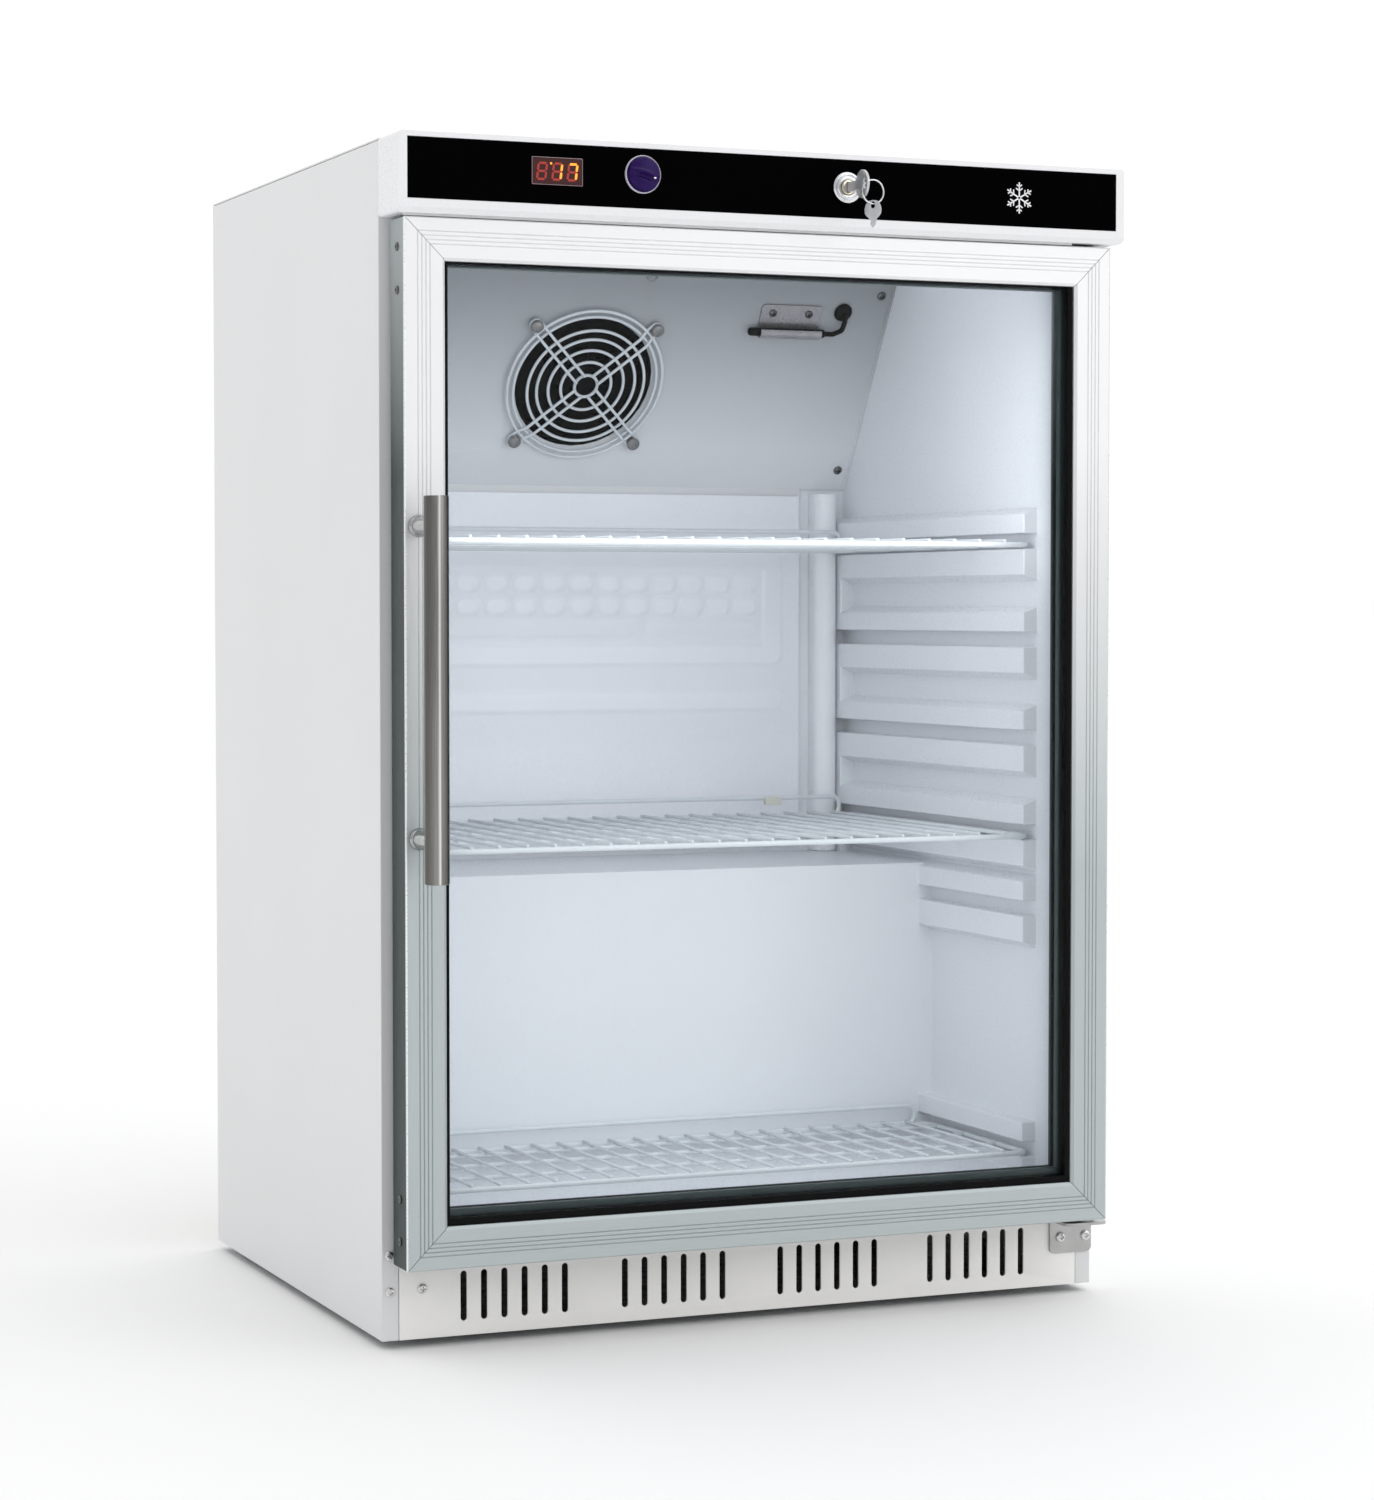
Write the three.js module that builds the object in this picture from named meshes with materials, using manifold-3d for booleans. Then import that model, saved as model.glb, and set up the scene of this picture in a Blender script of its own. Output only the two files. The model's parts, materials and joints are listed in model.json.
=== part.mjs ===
// Reach-in refrigerator with one glazed door, modelled as the separate pieces it is assembled from.
// Units are millimetres. X runs left to right, Y from front to back, Z up from the floor.
// Inside this file Y = 0 is the cabinet's front face; the finished group is centred on its own box.
import * as THREE from "three";
import { mergeVertices } from "three/addons/utils/BufferGeometryUtils.js";
import Module from "manifold-3d";

const wasm = await Module();
wasm.setup();

// ---------------------------------------------------------------- driving dimensions
const HALF_WIDTH = 286;
const DEPTH = 438;
const FOOT_GAP = 6;
const HEIGHT = 855;
const SHEET = 1.5;
const GAP = 0.3;
const FLANGE = 12.7;
const PAN = { bottom: 8, top: 9.5, lip: 40, rear: 435.5 };
const FOOT = { x: 226, frontY: 60, rearY: 372, stud: 4, pad: 17, height: 34 };
const GLAND = { x: -200, z: 26, thread: 7, cap: 10.5, bore: 3.8 };
const SLOT = { width: 4.8, bottom: 16.5, top: 52.5, pitch: 15.5, perGroup: 6 };
const SLOT_GROUPS = [-224.6, -100.1, 24, 148.4];

const CROWN_BOTTOM = 799.3;
const CROWN_CHAMFER = 3.6;
const CROWN_DEPTH = 45;
const CROWN_WALL = 2;
const FASCIA = { half: 279, bottom: 809, top: 851, thickness: 1.5 };
const DISPLAY = { x: -169, z: 831.9, half: 19, halfHeight: 9.6, back: 20 };
const KNOB = { x: -104.6, z: 832.7, radius: 11, bezel: 13.5, shaft: 3 };
const THERMOSTAT = { half: 16, halfHeight: 15, depth: 26 };
const LOCK = { x: 55.2, z: 830.8, rim: 11.5, barrel: 9, plug: 5.2 };
const LOCK_ARM = { length: 46, half: 5, front: -21.5, back: -19.5 };
const KEY = { half: 3.6, bowY: -72, bow: 10.5, holeY: -77, hole: 3.3, thick: 1, tipY: -28.3 };
const RING = { radius: 8.5, wire: 0.7 };
const RING_OFFSET = RING.radius * Math.SQRT1_2;
const SPARE = { bow: 7, bowDrop: 3.4, hole: 2.9, half: 2.6, clearance: 1.8, turn: 40 };

const DOOR = { half: 279, bottom: 61.5, top: 797.3, front: -37, back: -4.7 };
const DOOR_MIDDLE = (DOOR.bottom + DOOR.top) / 2;
const DOOR_HALF_HEIGHT = (DOOR.top - DOOR.bottom) / 2;
const FRAME_WIDTH = 30;
const FRAME_DEPTH = 4;
const GROOVES = { first: 9.2, pitch: 3, count: 4, depth: 0.7 };
const CORE_INSET = 30.3;
const PANE_INSET = 30.9;
const GLASS = { thickness: 3.7, outer: -28, inner: -17.3 };
const SEAL_SIGHT = { left: 33.4, right: 35, bottom: 36, top: 32.2 };
const SPACER_SIGHT = { left: 33.8, right: 35.5, bottom: 40, top: 32.4 };
const GASKET = { outer: 10.5, inner: 22, front: -4.4, back: -0.4 };
const HINGE = { x: 270, y: -20, pin: 4, collar: 7 };
const BRACKET = { left: 250, ledge: 9, thickness: 2.5, radius: 4 };
const HANDLE = { x: -269.3, y: -75.3, radius: 8.7, bottom: 336, top: 603, post: 6, posts: [365, 583] };

const CAVITY = { half: 256, floor: 90, back: 383, mouthTop: 774, ceilingRear: 806, ceilingBreak: 290 };
const HUMP = { front: 212, top: 318 };
const LINER_WALL = 2;
const BAY = { half: 262, front: 238, top: 290 };
const RAIL = { reach: 12, height: 20, guideHeight: 15, slot: 12, front: 33, bevel: 5, stop: 362 };
const RAIL_TOPS = [572, 496, 420, 347, 288];
const FLOOR_RAIL = 101;
const SHELF = { half: 252, front: 32, rear: 350, thickness: 4, border: 4, stop: 20, rise: 1 };
const SHELF_BAYS = { across: 11, deep: 2 };
const EVAPORATOR = { half: 212, bottom: 326, top: 622, front: 376.5, thickness: 3 };
const DUCT = { x: 233, front: 372, radius: 10 };

const PANEL = { tilt: THREE.MathUtils.degToRad(31), footY: 381, footZ: 628, length: 203, half: 254.5 };
const FAN = { x: -4, up: 97, hole: 59, boltHalf: 52.5, rotor: 54, depth: 16, blades: 7, hub: 20 };
const GUARD = { rings: [67, 61, 49, 37, 25], wire: 2.2, hub: 12, lift: 5 };
const SENSOR = { left: 139, right: 194, bottom: 147, top: 174, bulbV: 151, bulb: 3.2, lift: 5.6 };
const GROMMET = { u: 213, v: 169, radius: 7 };

const COMPRESSOR = { x: -60, y: 338, radius: 76, stretch: 1.12, railHalf: 96, railY: 62, railWidth: 28 };
const RELAY = { width: 44, half: 28, bottom: 62, top: 132 };
const TRAY = { x: 170, half: 70, front: 270, back: 410, bottom: 55.5, top: 93.5, wall: 3 };
const CONDENSER = { half: 228, bottom: 345, top: 800, front: 455, depth: 10, strip: 14, tube: 6 };
const CONDENSER_RUNGS = 12;
const DRIER = { x: 205, y: 462, bottom: 210 };

// ---------------------------------------------------------------- geometry helpers
const ALONG_X = new THREE.Matrix4().makeBasis(
  new THREE.Vector3(0, 1, 0), new THREE.Vector3(0, 0, 1), new THREE.Vector3(1, 0, 0));

function box(x0, x1, y0, y1, z0, z1) {
  const geometry = new THREE.BoxGeometry(x1 - x0, y1 - y0, z1 - z0);
  return geometry.translate((x0 + x1) / 2, (y0 + y1) / 2, (z0 + z1) / 2);
}

function outline(points) {
  return new THREE.Shape(points.map(([u, v]) => new THREE.Vector2(u, v)));
}

function rectangle(u0, u1, v0, v1) {
  return outline([[u0, v0], [u1, v0], [u1, v1], [u0, v1]]);
}

function roundedRectangle(u0, u1, v0, v1, r) {
  const shape = new THREE.Shape();
  shape.absarc(u0 + r, v0 + r, r, Math.PI, 1.5 * Math.PI);
  shape.absarc(u1 - r, v0 + r, r, 1.5 * Math.PI, 2 * Math.PI);
  shape.absarc(u1 - r, v1 - r, r, 0, 0.5 * Math.PI);
  shape.absarc(u0 + r, v1 - r, r, 0.5 * Math.PI, Math.PI);
  return shape;
}

function withHoles(shape, holes) {
  shape.holes.push(...holes);
  return shape;
}

// A flat outline in X and Z, given thickness from y0 to y1.
function standing(shape, y0, y1, curveSegments = 4) {
  const geometry = new THREE.ExtrudeGeometry(shape, { depth: y1 - y0, bevelEnabled: false, curveSegments });
  return geometry.rotateX(Math.PI / 2).translate(0, y1, 0);
}

// A flat outline in X and Y, given thickness from z0 to z1.
function lying(shape, z0, z1, curveSegments = 4) {
  const geometry = new THREE.ExtrudeGeometry(shape, { depth: z1 - z0, bevelEnabled: false, curveSegments });
  return geometry.translate(0, 0, z0);
}

// A side profile in Y and Z, given width from x0 to x1.
function sideways(shape, x0, x1) {
  const geometry = new THREE.ExtrudeGeometry(shape, { depth: x1 - x0, bevelEnabled: false, curveSegments: 4 });
  return geometry.translate(0, 0, x0).applyMatrix4(ALONG_X);
}

function rodAlongY(x, z, radius, y0, y1, sides = 20) {
  const geometry = new THREE.CylinderGeometry(radius, radius, y1 - y0, sides);
  return geometry.translate(x, (y0 + y1) / 2, z);
}

function rodAlongZ(x, y, radius, z0, z1, sides = 16) {
  const geometry = new THREE.CylinderGeometry(radius, radius, z1 - z0, sides);
  return geometry.rotateX(Math.PI / 2).translate(x, y, (z0 + z1) / 2);
}

function rodAlongX(x0, x1, y, z, radius, sides = 12) {
  const geometry = new THREE.CylinderGeometry(radius, radius, x1 - x0, sides);
  return geometry.rotateZ(-Math.PI / 2).translate((x0 + x1) / 2, y, z);
}

// Turns a profile of radius and height about Z.
function turned(profile, sides) {
  const points = profile.map(([radius, height]) => new THREE.Vector2(radius, height));
  return new THREE.LatheGeometry(points, sides).rotateX(Math.PI / 2);
}

function pipe(points, radius, steps, sides = 8) {
  const section = new THREE.Shape();
  section.absarc(0, 0, radius, 0, 2 * Math.PI);
  const extrudePath = new THREE.CatmullRomCurve3(points.map((p) => new THREE.Vector3(...p)));
  return new THREE.ExtrudeGeometry(section, { steps, extrudePath, curveSegments: sides / 2 });
}

function allRound(inset) {
  return { left: inset, right: inset, bottom: inset, top: inset };
}

// The four-sided border between two rectangles, each the door's outline pulled in side by side.
function doorBorder(outer, inner, y0, y1) {
  const pulledIn = (inset) => rectangle(-DOOR.half + inset.left, DOOR.half - inset.right,
    DOOR.bottom + inset.bottom, DOOR.top - inset.top);
  return standing(withHoles(pulledIn(outer), [pulledIn(inner)]), y0, y1);
}

function toSolid(geometry) {
  const bare = geometry.clone();
  bare.deleteAttribute("normal");
  bare.deleteAttribute("uv");
  const merged = mergeVertices(bare, 1e-4);
  return new wasm.Manifold(new wasm.Mesh({
    numProp: 3,
    vertProperties: new Float32Array(merged.attributes.position.array),
    triVerts: new Uint32Array(merged.index.array),
  }));
}

function toGeometry(solid) {
  const mesh = solid.getMesh();
  const geometry = new THREE.BufferGeometry();
  geometry.setAttribute("position", new THREE.BufferAttribute(mesh.vertProperties, 3));
  geometry.setIndex(new THREE.BufferAttribute(mesh.triVerts, 1));
  geometry.computeVertexNormals();
  return geometry;
}

function join(...geometries) {
  return toGeometry(geometries.map(toSolid).reduce((whole, piece) => whole.add(piece)));
}

function cut(geometry, ...tools) {
  return toGeometry(tools.map(toSolid).reduce((rest, tool) => rest.subtract(tool), toSolid(geometry)));
}

// ---------------------------------------------------------------- materials
function finish(color, roughness, metalness = 0, opacity = 1) {
  const settings = { color, roughness, metalness, opacity, transparent: opacity < 1 };
  return () => new THREE.MeshStandardMaterial(settings);
}

const whitePaint = finish(0xe9ebec, 0.35);
const galvanised = finish(0xb9bdc0, 0.45, 0.9);
const foam = finish(0xe6d9a8, 0.9);
const linerPlastic = finish(0xdfe6ee, 0.4);
const blackAcrylic = finish(0x060607, 0.08);
const redWindow = finish(0x3a0d0b, 0.1);
const darkPlastic = finish(0x1d1f21, 0.5);
const greyDoorCore = finish(0x39413f, 0.5);
const purplePlastic = finish(0x3d2a63, 0.35);
const chrome = finish(0xd9dcde, 0.12, 1);
const brushedSteel = finish(0xa9a9a6, 0.3, 1);
const satinAluminium = finish(0xd0d4d4, 0.35, 0.9);
const clearGlass = finish(0xe8f4f2, 0.03, 0, 0.25);
const slateSpacer = finish(0x2d3c3c, 0.6);
const blackRubber = finish(0x101010, 0.7);
const greyRubber = finish(0x8d9092, 0.7);
const whiteWire = finish(0xf2f4f5, 0.3);
const paintedAluminium = finish(0xdde6ef, 0.35);
const blackEnamel = finish(0x141414, 0.4, 0.2);
const copper = finish(0xb5673c, 0.3, 1);
const brass = finish(0xb59a4d, 0.3, 1);

// ---------------------------------------------------------------- assembly
const fridge = new THREE.Group();

function place(name, geometry, material, parent = fridge) {
  const mesh = new THREE.Mesh(geometry, material());
  mesh.name = name;
  parent.add(mesh);
  return mesh;
}

// ---------------------------------------------------------------- outer cabinet
// Each side is one folded sheet: the wall, and a narrow flange turned in at the front.
function sidePanel(side) {
  const wall = HALF_WIDTH - SHEET;
  const flange = HALF_WIDTH - FLANGE;
  const section = [[flange, 0], [HALF_WIDTH, 0], [HALF_WIDTH, DEPTH],
    [wall, DEPTH], [wall, SHEET], [flange, SHEET]];
  return lying(outline(section.map(([x, y]) => [side * x, y])), FOOT_GAP, HEIGHT - SHEET - GAP);
}

function topPanel() {
  return box(-HALF_WIDTH, HALF_WIDTH, 0, DEPTH, HEIGHT - SHEET, HEIGHT);
}

function backPanel() {
  const half = HALF_WIDTH - SHEET - GAP;
  return box(-half, half, DEPTH - SHEET, DEPTH, BAY.top + 4, HEIGHT - SHEET - GAP);
}

function footPlaces() {
  return [["front_left", -FOOT.x, FOOT.frontY], ["front_right", FOOT.x, FOOT.frontY],
    ["rear_left", -FOOT.x, FOOT.rearY], ["rear_right", FOOT.x, FOOT.rearY]];
}

// The floor of the machine bay, turned up at the back, with a clearance hole for each foot.
function basePan() {
  const half = HALF_WIDTH - SHEET - GAP;
  const floor = box(-half, half, 2, PAN.rear, PAN.bottom, PAN.top);
  const lip = box(-half, half, PAN.rear - SHEET, PAN.rear, PAN.bottom, PAN.lip);
  const studHoles = footPlaces().map(([, x, y]) => rodAlongZ(x, y, FOOT.stud + 0.6, 0, 20, 12));
  const glandHole = rodAlongY(GLAND.x, GLAND.z, GLAND.thread + 0.4, PAN.rear - 10, PAN.rear + 10, 12);
  return cut(join(floor, lip), ...studHoles, glandHole);
}

function levellingFoot(x, y) {
  const pad = [[0, 0], [FOOT.pad, 0], [FOOT.pad, 3.5], [10, 5.5]];
  const stud = [[FOOT.stud, 5.7], [FOOT.stud, FOOT.height], [0, FOOT.height]];
  return turned([...pad, ...stud], 16).translate(x, y, 0);
}

// A cable gland with a round hole through it, clamped in the pan's rear lip.
function cordGland() {
  const cap = rodAlongY(GLAND.x, GLAND.z, GLAND.cap, PAN.rear + GAP, PAN.rear + 15, 12);
  const neck = rodAlongY(GLAND.x, GLAND.z, GLAND.thread, PAN.rear - 12, PAN.rear + 2, 12);
  return cut(join(cap, neck), rodAlongY(GLAND.x, GLAND.z, GLAND.bore, PAN.rear - 20, PAN.rear + 20, 12));
}

// The front plinth, with four groups of six upright slots.
function plinthGrille() {
  const half = HALF_WIDTH - FLANGE - GAP;
  const slots = SLOT_GROUPS.flatMap((first) => Array.from({ length: SLOT.perGroup }, (_, i) => {
    const x = first + i * SLOT.pitch;
    return box(x - SLOT.width / 2, x + SLOT.width / 2, -1, SHEET + 1, SLOT.bottom, SLOT.top);
  }));
  return cut(box(-half, half, 0, SHEET, FOOT_GAP, DOOR.bottom - GAP), ...slots);
}

// ---------------------------------------------------------------- inner cabinet
// The storage space seen from the side: floor, hump over the machine bay, back, and rising ceiling.
function cavityProfile(grow, mouth) {
  return outline([
    [mouth, CAVITY.floor - grow], [HUMP.front + grow, CAVITY.floor - grow],
    [HUMP.front + grow, HUMP.top - grow], [CAVITY.back + grow, HUMP.top - grow],
    [CAVITY.back + grow, CAVITY.ceilingRear + grow], [CAVITY.ceilingBreak, CAVITY.ceilingRear + grow],
    [mouth, CAVITY.mouthTop + grow],
  ]);
}

// One shelf slot: a rail below, a guide rail above, and a stop block behind that reaches the next slot.
function railPair(side, top, nextTop) {
  const wall = CAVITY.half + 1;
  const tip = CAVITY.half - RAIL.reach;
  const rail = (z0, z1, bevelBelow, bevelAbove) => {
    const points = [[wall, z0 - bevelBelow], [tip, z0], [tip, z1], [wall, z1 + bevelAbove]];
    const section = points.map(([x, z]) => [side * x, z]);
    return standing(outline(section), RAIL.front, CAVITY.back + 1);
  };
  const guide = top + RAIL.slot;
  const pieces = [rail(top - RAIL.height, top, RAIL.bevel, 0),
    rail(guide, guide + RAIL.guideHeight, 0, RAIL.bevel)];
  if (nextTop !== undefined) {
    const [x0, x1] = side > 0 ? [tip, wall] : [-wall, -tip];
    pieces.push(box(x0, x1, RAIL.stop, CAVITY.back + 1, nextTop + RAIL.slot + 1, top - 1));
  }
  return pieces;
}

function liner() {
  const wall = CAVITY.half + 1;
  const tip = CAVITY.half - RAIL.reach;
  const flangeHalf = HALF_WIDTH - FLANGE - GAP;
  const face = rectangle(-flangeHalf, flangeHalf, DOOR.bottom + GAP, CROWN_BOTTOM + 2);
  const flange = standing(face, 0, LINER_WALL);
  const shell = sideways(cavityProfile(LINER_WALL, 0), -CAVITY.half - LINER_WALL, CAVITY.half + LINER_WALL);
  const space = sideways(cavityProfile(0, -1), -CAVITY.half, CAVITY.half);
  const hollow = cut(join(flange, shell), space);
  const rails = [-1, 1].flatMap((side) =>
    RAIL_TOPS.flatMap((top, i) => railPair(side, top, RAIL_TOPS[i + 1])));
  const guide = FLOOR_RAIL + RAIL.slot;
  const lowRails = [-1, 1].map((side) => {
    const [x0, x1] = side > 0 ? [tip, wall] : [-wall, -tip];
    return join(box(x0, x1, RAIL.front, HUMP.front + 1, CAVITY.floor - 1, FLOOR_RAIL),
      box(x0, x1, RAIL.front, HUMP.front + 1, guide, guide + RAIL.guideHeight));
  });
  const outside = toSolid(shell);
  const inside = [...rails, ...lowRails].map((piece) => toSolid(piece).intersect(outside));
  return toGeometry(inside.reduce((whole, piece) => whole.add(piece), toSolid(hollow)));
}

function insulation() {
  const half = HALF_WIDTH - SHEET - GAP;
  const front = LINER_WALL + GAP;
  const block = box(-half, half, front, DEPTH - SHEET - GAP, CAVITY.floor - 28, HEIGHT - SHEET - GAP);
  const linerSpace = sideways(cavityProfile(LINER_WALL + GAP, 0), -CAVITY.half - LINER_WALL - GAP,
    CAVITY.half + LINER_WALL + GAP);
  const bay = box(-BAY.half, BAY.half, BAY.front, DEPTH + 1, 0, BAY.top);
  return cut(block, linerSpace, bay);
}

// The folded galvanised sheet that lines the front and roof of the machine bay.
function machineBayPanel() {
  const front = BAY.front + GAP;
  const top = BAY.top - GAP;
  const profile = outline([[front, PAN.top + GAP], [front + 1, PAN.top + GAP], [front + 1, top - 1],
    [DEPTH - 4, top - 1], [DEPTH - 4, top], [front, top]]);
  return sideways(profile, -BAY.half + GAP, BAY.half - GAP);
}

// A flat evaporator plate that stands just off the back wall.
function evaporatorPlate() {
  return box(-EVAPORATOR.half, EVAPORATOR.half, EVAPORATOR.front, EVAPORATOR.front + EVAPORATOR.thickness,
    EVAPORATOR.bottom, EVAPORATOR.top);
}

// The round-fronted channel in the right rear corner that carries the refrigerant lines.
function rearDuct() {
  const { x, front, radius } = DUCT;
  const section = new THREE.Shape();
  section.moveTo(x + radius, CAVITY.back - GAP);
  section.lineTo(x - radius, CAVITY.back - GAP);
  section.absarc(x, front, radius, Math.PI, 2 * Math.PI);
  return lying(section, HUMP.top + GAP, PANEL.footZ - 4, 6);
}

function shelf(level, rearY) {
  const { half, front, thickness, border: rim } = SHELF;
  const bottom = level + SHELF.rise;
  const pitchX = (2 * half - rim) / SHELF_BAYS.across;
  const pitchY = (rearY - front - rim) / SHELF_BAYS.deep;
  const openings = [];
  for (let i = 0; i < SHELF_BAYS.across; i += 1) {
    for (let j = 0; j < SHELF_BAYS.deep; j += 1) {
      const x = -half + rim + i * pitchX;
      const y = front + rim + j * pitchY;
      openings.push(box(x, x + pitchX - rim, y, y + pitchY - rim, bottom - 1, bottom + thickness + 1));
    }
  }
  const grid = cut(box(-half, half, front, rearY, bottom, bottom + thickness), ...openings);
  const stopHalf = half - RAIL.reach - 4;
  const hole = rectangle(-stopHalf + rim, stopHalf - rim, bottom + rim + 2, bottom + SHELF.stop - rim);
  const stop = withHoles(rectangle(-stopHalf, stopHalf, bottom + 1, bottom + SHELF.stop), [hole]);
  return join(grid, standing(stop, rearY - rim, rearY));
}

// ---------------------------------------------------------------- fan panel assembly
// Built flat: u across, v up the slope, w out of the panel towards the storage space.
const fanGroup = new THREE.Group();
fanGroup.position.set(0, PANEL.footY, PANEL.footZ);
fanGroup.rotation.x = Math.PI / 2 + PANEL.tilt;
fridge.add(fanGroup);

function fanPanel() {
  const hole = new THREE.Path().absarc(FAN.x, FAN.up, FAN.hole, 0, 2 * Math.PI);
  return lying(withHoles(rectangle(-PANEL.half, PANEL.half, 0, PANEL.length), [hole]), -SHEET, 0, 16);
}

function fanHousing() {
  const bore = new THREE.Path().absarc(0, 0, FAN.rotor + 2.5, 0, 2 * Math.PI);
  const bearing = rodAlongZ(0, 0, FAN.hub - 3, -FAN.depth - 4, -FAN.depth - 1);
  const strut = (angle) => box(16, FAN.rotor + 4, -2.5, 2.5, -FAN.depth - 4, -FAN.depth - 1).rotateZ(angle);
  const ring = new THREE.Shape().absarc(0, 0, FAN.rotor + 6, 0, 2 * Math.PI);
  const body = lying(withHoles(ring, [bore]), -FAN.depth - 4, -SHEET - GAP, 12);
  return join(body, bearing, ...[0.5, 2.6, 4.7].map(strut)).translate(FAN.x, FAN.up, 0);
}

function fanRotor() {
  const hub = rodAlongZ(0, 0, FAN.hub, -FAN.depth, -4, 20);
  const blade = (i) => {
    const plate = box(15, FAN.rotor, -11, 11, -1, 1);
    return plate.rotateX(0.5).rotateZ((i * 2 * Math.PI) / FAN.blades).translate(0, 0, -FAN.depth / 2 - 2);
  };
  return join(hub, ...Array.from({ length: FAN.blades }, (_, i) => blade(i))).translate(FAN.x, FAN.up, 0);
}

// Concentric wire rings on two crossed bars, standing off the panel on four corner feet.
function fanGuard() {
  const ring = (radius) => {
    const inner = new THREE.Path().absarc(0, 0, radius - GUARD.wire, 0, 2 * Math.PI);
    const outer = new THREE.Shape().absarc(0, 0, radius, 0, 2 * Math.PI);
    return lying(withHoles(outer, [inner]), GUARD.lift, GUARD.lift + GUARD.wire, 9);
  };
  const reach = FAN.boltHalf * Math.SQRT2 + 5;
  const spoke = (angle) =>
    box(-reach, reach, -2.6, 2.6, GUARD.lift + 1.6, GUARD.lift + GUARD.wire + 1.6).rotateZ(angle);
  const foot = (sx, sy) => rodAlongZ(sx * FAN.boltHalf, sy * FAN.boltHalf, 4, GAP, GUARD.lift + 2.5, 8);
  const feet = [foot(1, 1), foot(1, -1), foot(-1, 1), foot(-1, -1)];
  const hub = rodAlongZ(0, 0, GUARD.hub, GUARD.lift, GUARD.lift + GUARD.wire + 0.4, 16);
  return join(...GUARD.rings.map(ring), hub, spoke(Math.PI / 4), spoke(-Math.PI / 4), ...feet)
    .translate(FAN.x, FAN.up, 0);
}

// A plate screwed to the panel whose lower edge is rolled into a half-open clip.
function sensorBracket() {
  const plate = box(SENSOR.left, SENSOR.right, SENSOR.bottom, SENSOR.top, GAP, GAP + 1.4);
  const reach = SENSOR.bulb + 1.8;
  const clip = rodAlongX(SENSOR.left + 2, SENSOR.right - 2, SENSOR.bulbV, SENSOR.lift, reach);
  const bore = rodAlongX(SENSOR.left - 5, SENSOR.right + 5, SENSOR.bulbV, SENSOR.lift, SENSOR.bulb + 0.4);
  return cut(join(plate, clip), bore);
}

// The sensing bulb and the lead that bends up from it into the grommet.
function sensorProbe() {
  const bulb = rodAlongX(SENSOR.left - 5, SENSOR.right + 4, SENSOR.bulbV, SENSOR.lift, SENSOR.bulb);
  const lead = pipe([[SENSOR.right, SENSOR.bulbV, SENSOR.lift], [SENSOR.right + 10, SENSOR.bulbV, SENSOR.lift],
    [GROMMET.u - 1, SENSOR.bulbV + 6, SENSOR.lift + 1], [GROMMET.u, GROMMET.v - 3, SENSOR.lift + 2],
    [GROMMET.u, GROMMET.v, SENSOR.lift], [GROMMET.u, GROMMET.v, 3]], 1.6, 14);
  return join(bulb, lead);
}

function cableGrommet() {
  const { radius } = GROMMET;
  const profile = [[0, GAP], [radius, GAP], [radius, 1.6], [radius - 1.5, 2.6], [0, 2.6]];
  return turned(profile, 16).translate(GROMMET.u, GROMMET.v, 0);
}

// ---------------------------------------------------------------- crown with its controls
function crownHousing() {
  const face = roundedRectangle(-HALF_WIDTH, HALF_WIDTH, CROWN_BOTTOM, HEIGHT, 3);
  const outer = standing(face, -CROWN_DEPTH, -GAP);
  const front = -CROWN_DEPTH - 1;
  const low = CROWN_BOTTOM - 1;
  const slant = CROWN_CHAMFER + 2;
  const chamfer = sideways(outline([[front, low], [front + slant, low], [front, low + slant]]),
    -HALF_WIDTH - 1, HALF_WIDTH + 1);
  const inner = HALF_WIDTH - CROWN_WALL;
  const room = box(-inner, inner, -CROWN_DEPTH + 4, 1, CROWN_BOTTOM + CROWN_WALL, HEIGHT - CROWN_WALL);
  const pocket = box(-FASCIA.half - GAP, FASCIA.half + GAP,
    -CROWN_DEPTH - 1, -CROWN_DEPTH + FASCIA.thickness + GAP, FASCIA.bottom - GAP, FASCIA.top + GAP);
  const armSlot = box(LOCK.x - 42, LOCK.x + 8, LOCK_ARM.front - 2, LOCK_ARM.back + 2, low, low + 4);
  const hingeNotch = box(BRACKET.left - 1, HALF_WIDTH - CROWN_WALL - 0.1,
    HINGE.y - BRACKET.ledge - 1, 1, low, low + 4);
  return cut(outer, chamfer, room, pocket, armSlot, hingeNotch, ...controlHoles(front, -CROWN_DEPTH + 5));
}

// The openings that the display, the thermostat shaft and the lock pass through.
function controlHoles(y0, y1) {
  const slack = 0.35;
  return [
    box(DISPLAY.x - DISPLAY.half - slack, DISPLAY.x + DISPLAY.half + slack, y0, y1,
      DISPLAY.z - DISPLAY.halfHeight - slack, DISPLAY.z + DISPLAY.halfHeight + slack),
    rodAlongY(KNOB.x, KNOB.z, KNOB.shaft + 0.8, y0, y1, 12),
    rodAlongY(LOCK.x, LOCK.z, LOCK.barrel + 0.4, y0, y1),
  ];
}

function controlFascia() {
  const panel = box(-FASCIA.half, FASCIA.half,
    -CROWN_DEPTH, -CROWN_DEPTH + FASCIA.thickness, FASCIA.bottom, FASCIA.top);
  return cut(panel, ...controlHoles(-CROWN_DEPTH - 1, -CROWN_DEPTH + 3));
}

function displayModule() {
  return box(DISPLAY.x - DISPLAY.half, DISPLAY.x + DISPLAY.half,
    -CROWN_DEPTH - 0.4, -CROWN_DEPTH + DISPLAY.back,
    DISPLAY.z - DISPLAY.halfHeight, DISPLAY.z + DISPLAY.halfHeight);
}

function thermostatBody() {
  const front = -CROWN_DEPTH + 4 + GAP;
  const { half, halfHeight, depth } = THERMOSTAT;
  const body = box(KNOB.x - half, KNOB.x + half, front, front + depth,
    KNOB.z - halfHeight, KNOB.z + halfHeight);
  return cut(body, rodAlongY(KNOB.x, KNOB.z, KNOB.shaft + 0.4, front - 1, front + 9, 12));
}

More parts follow.
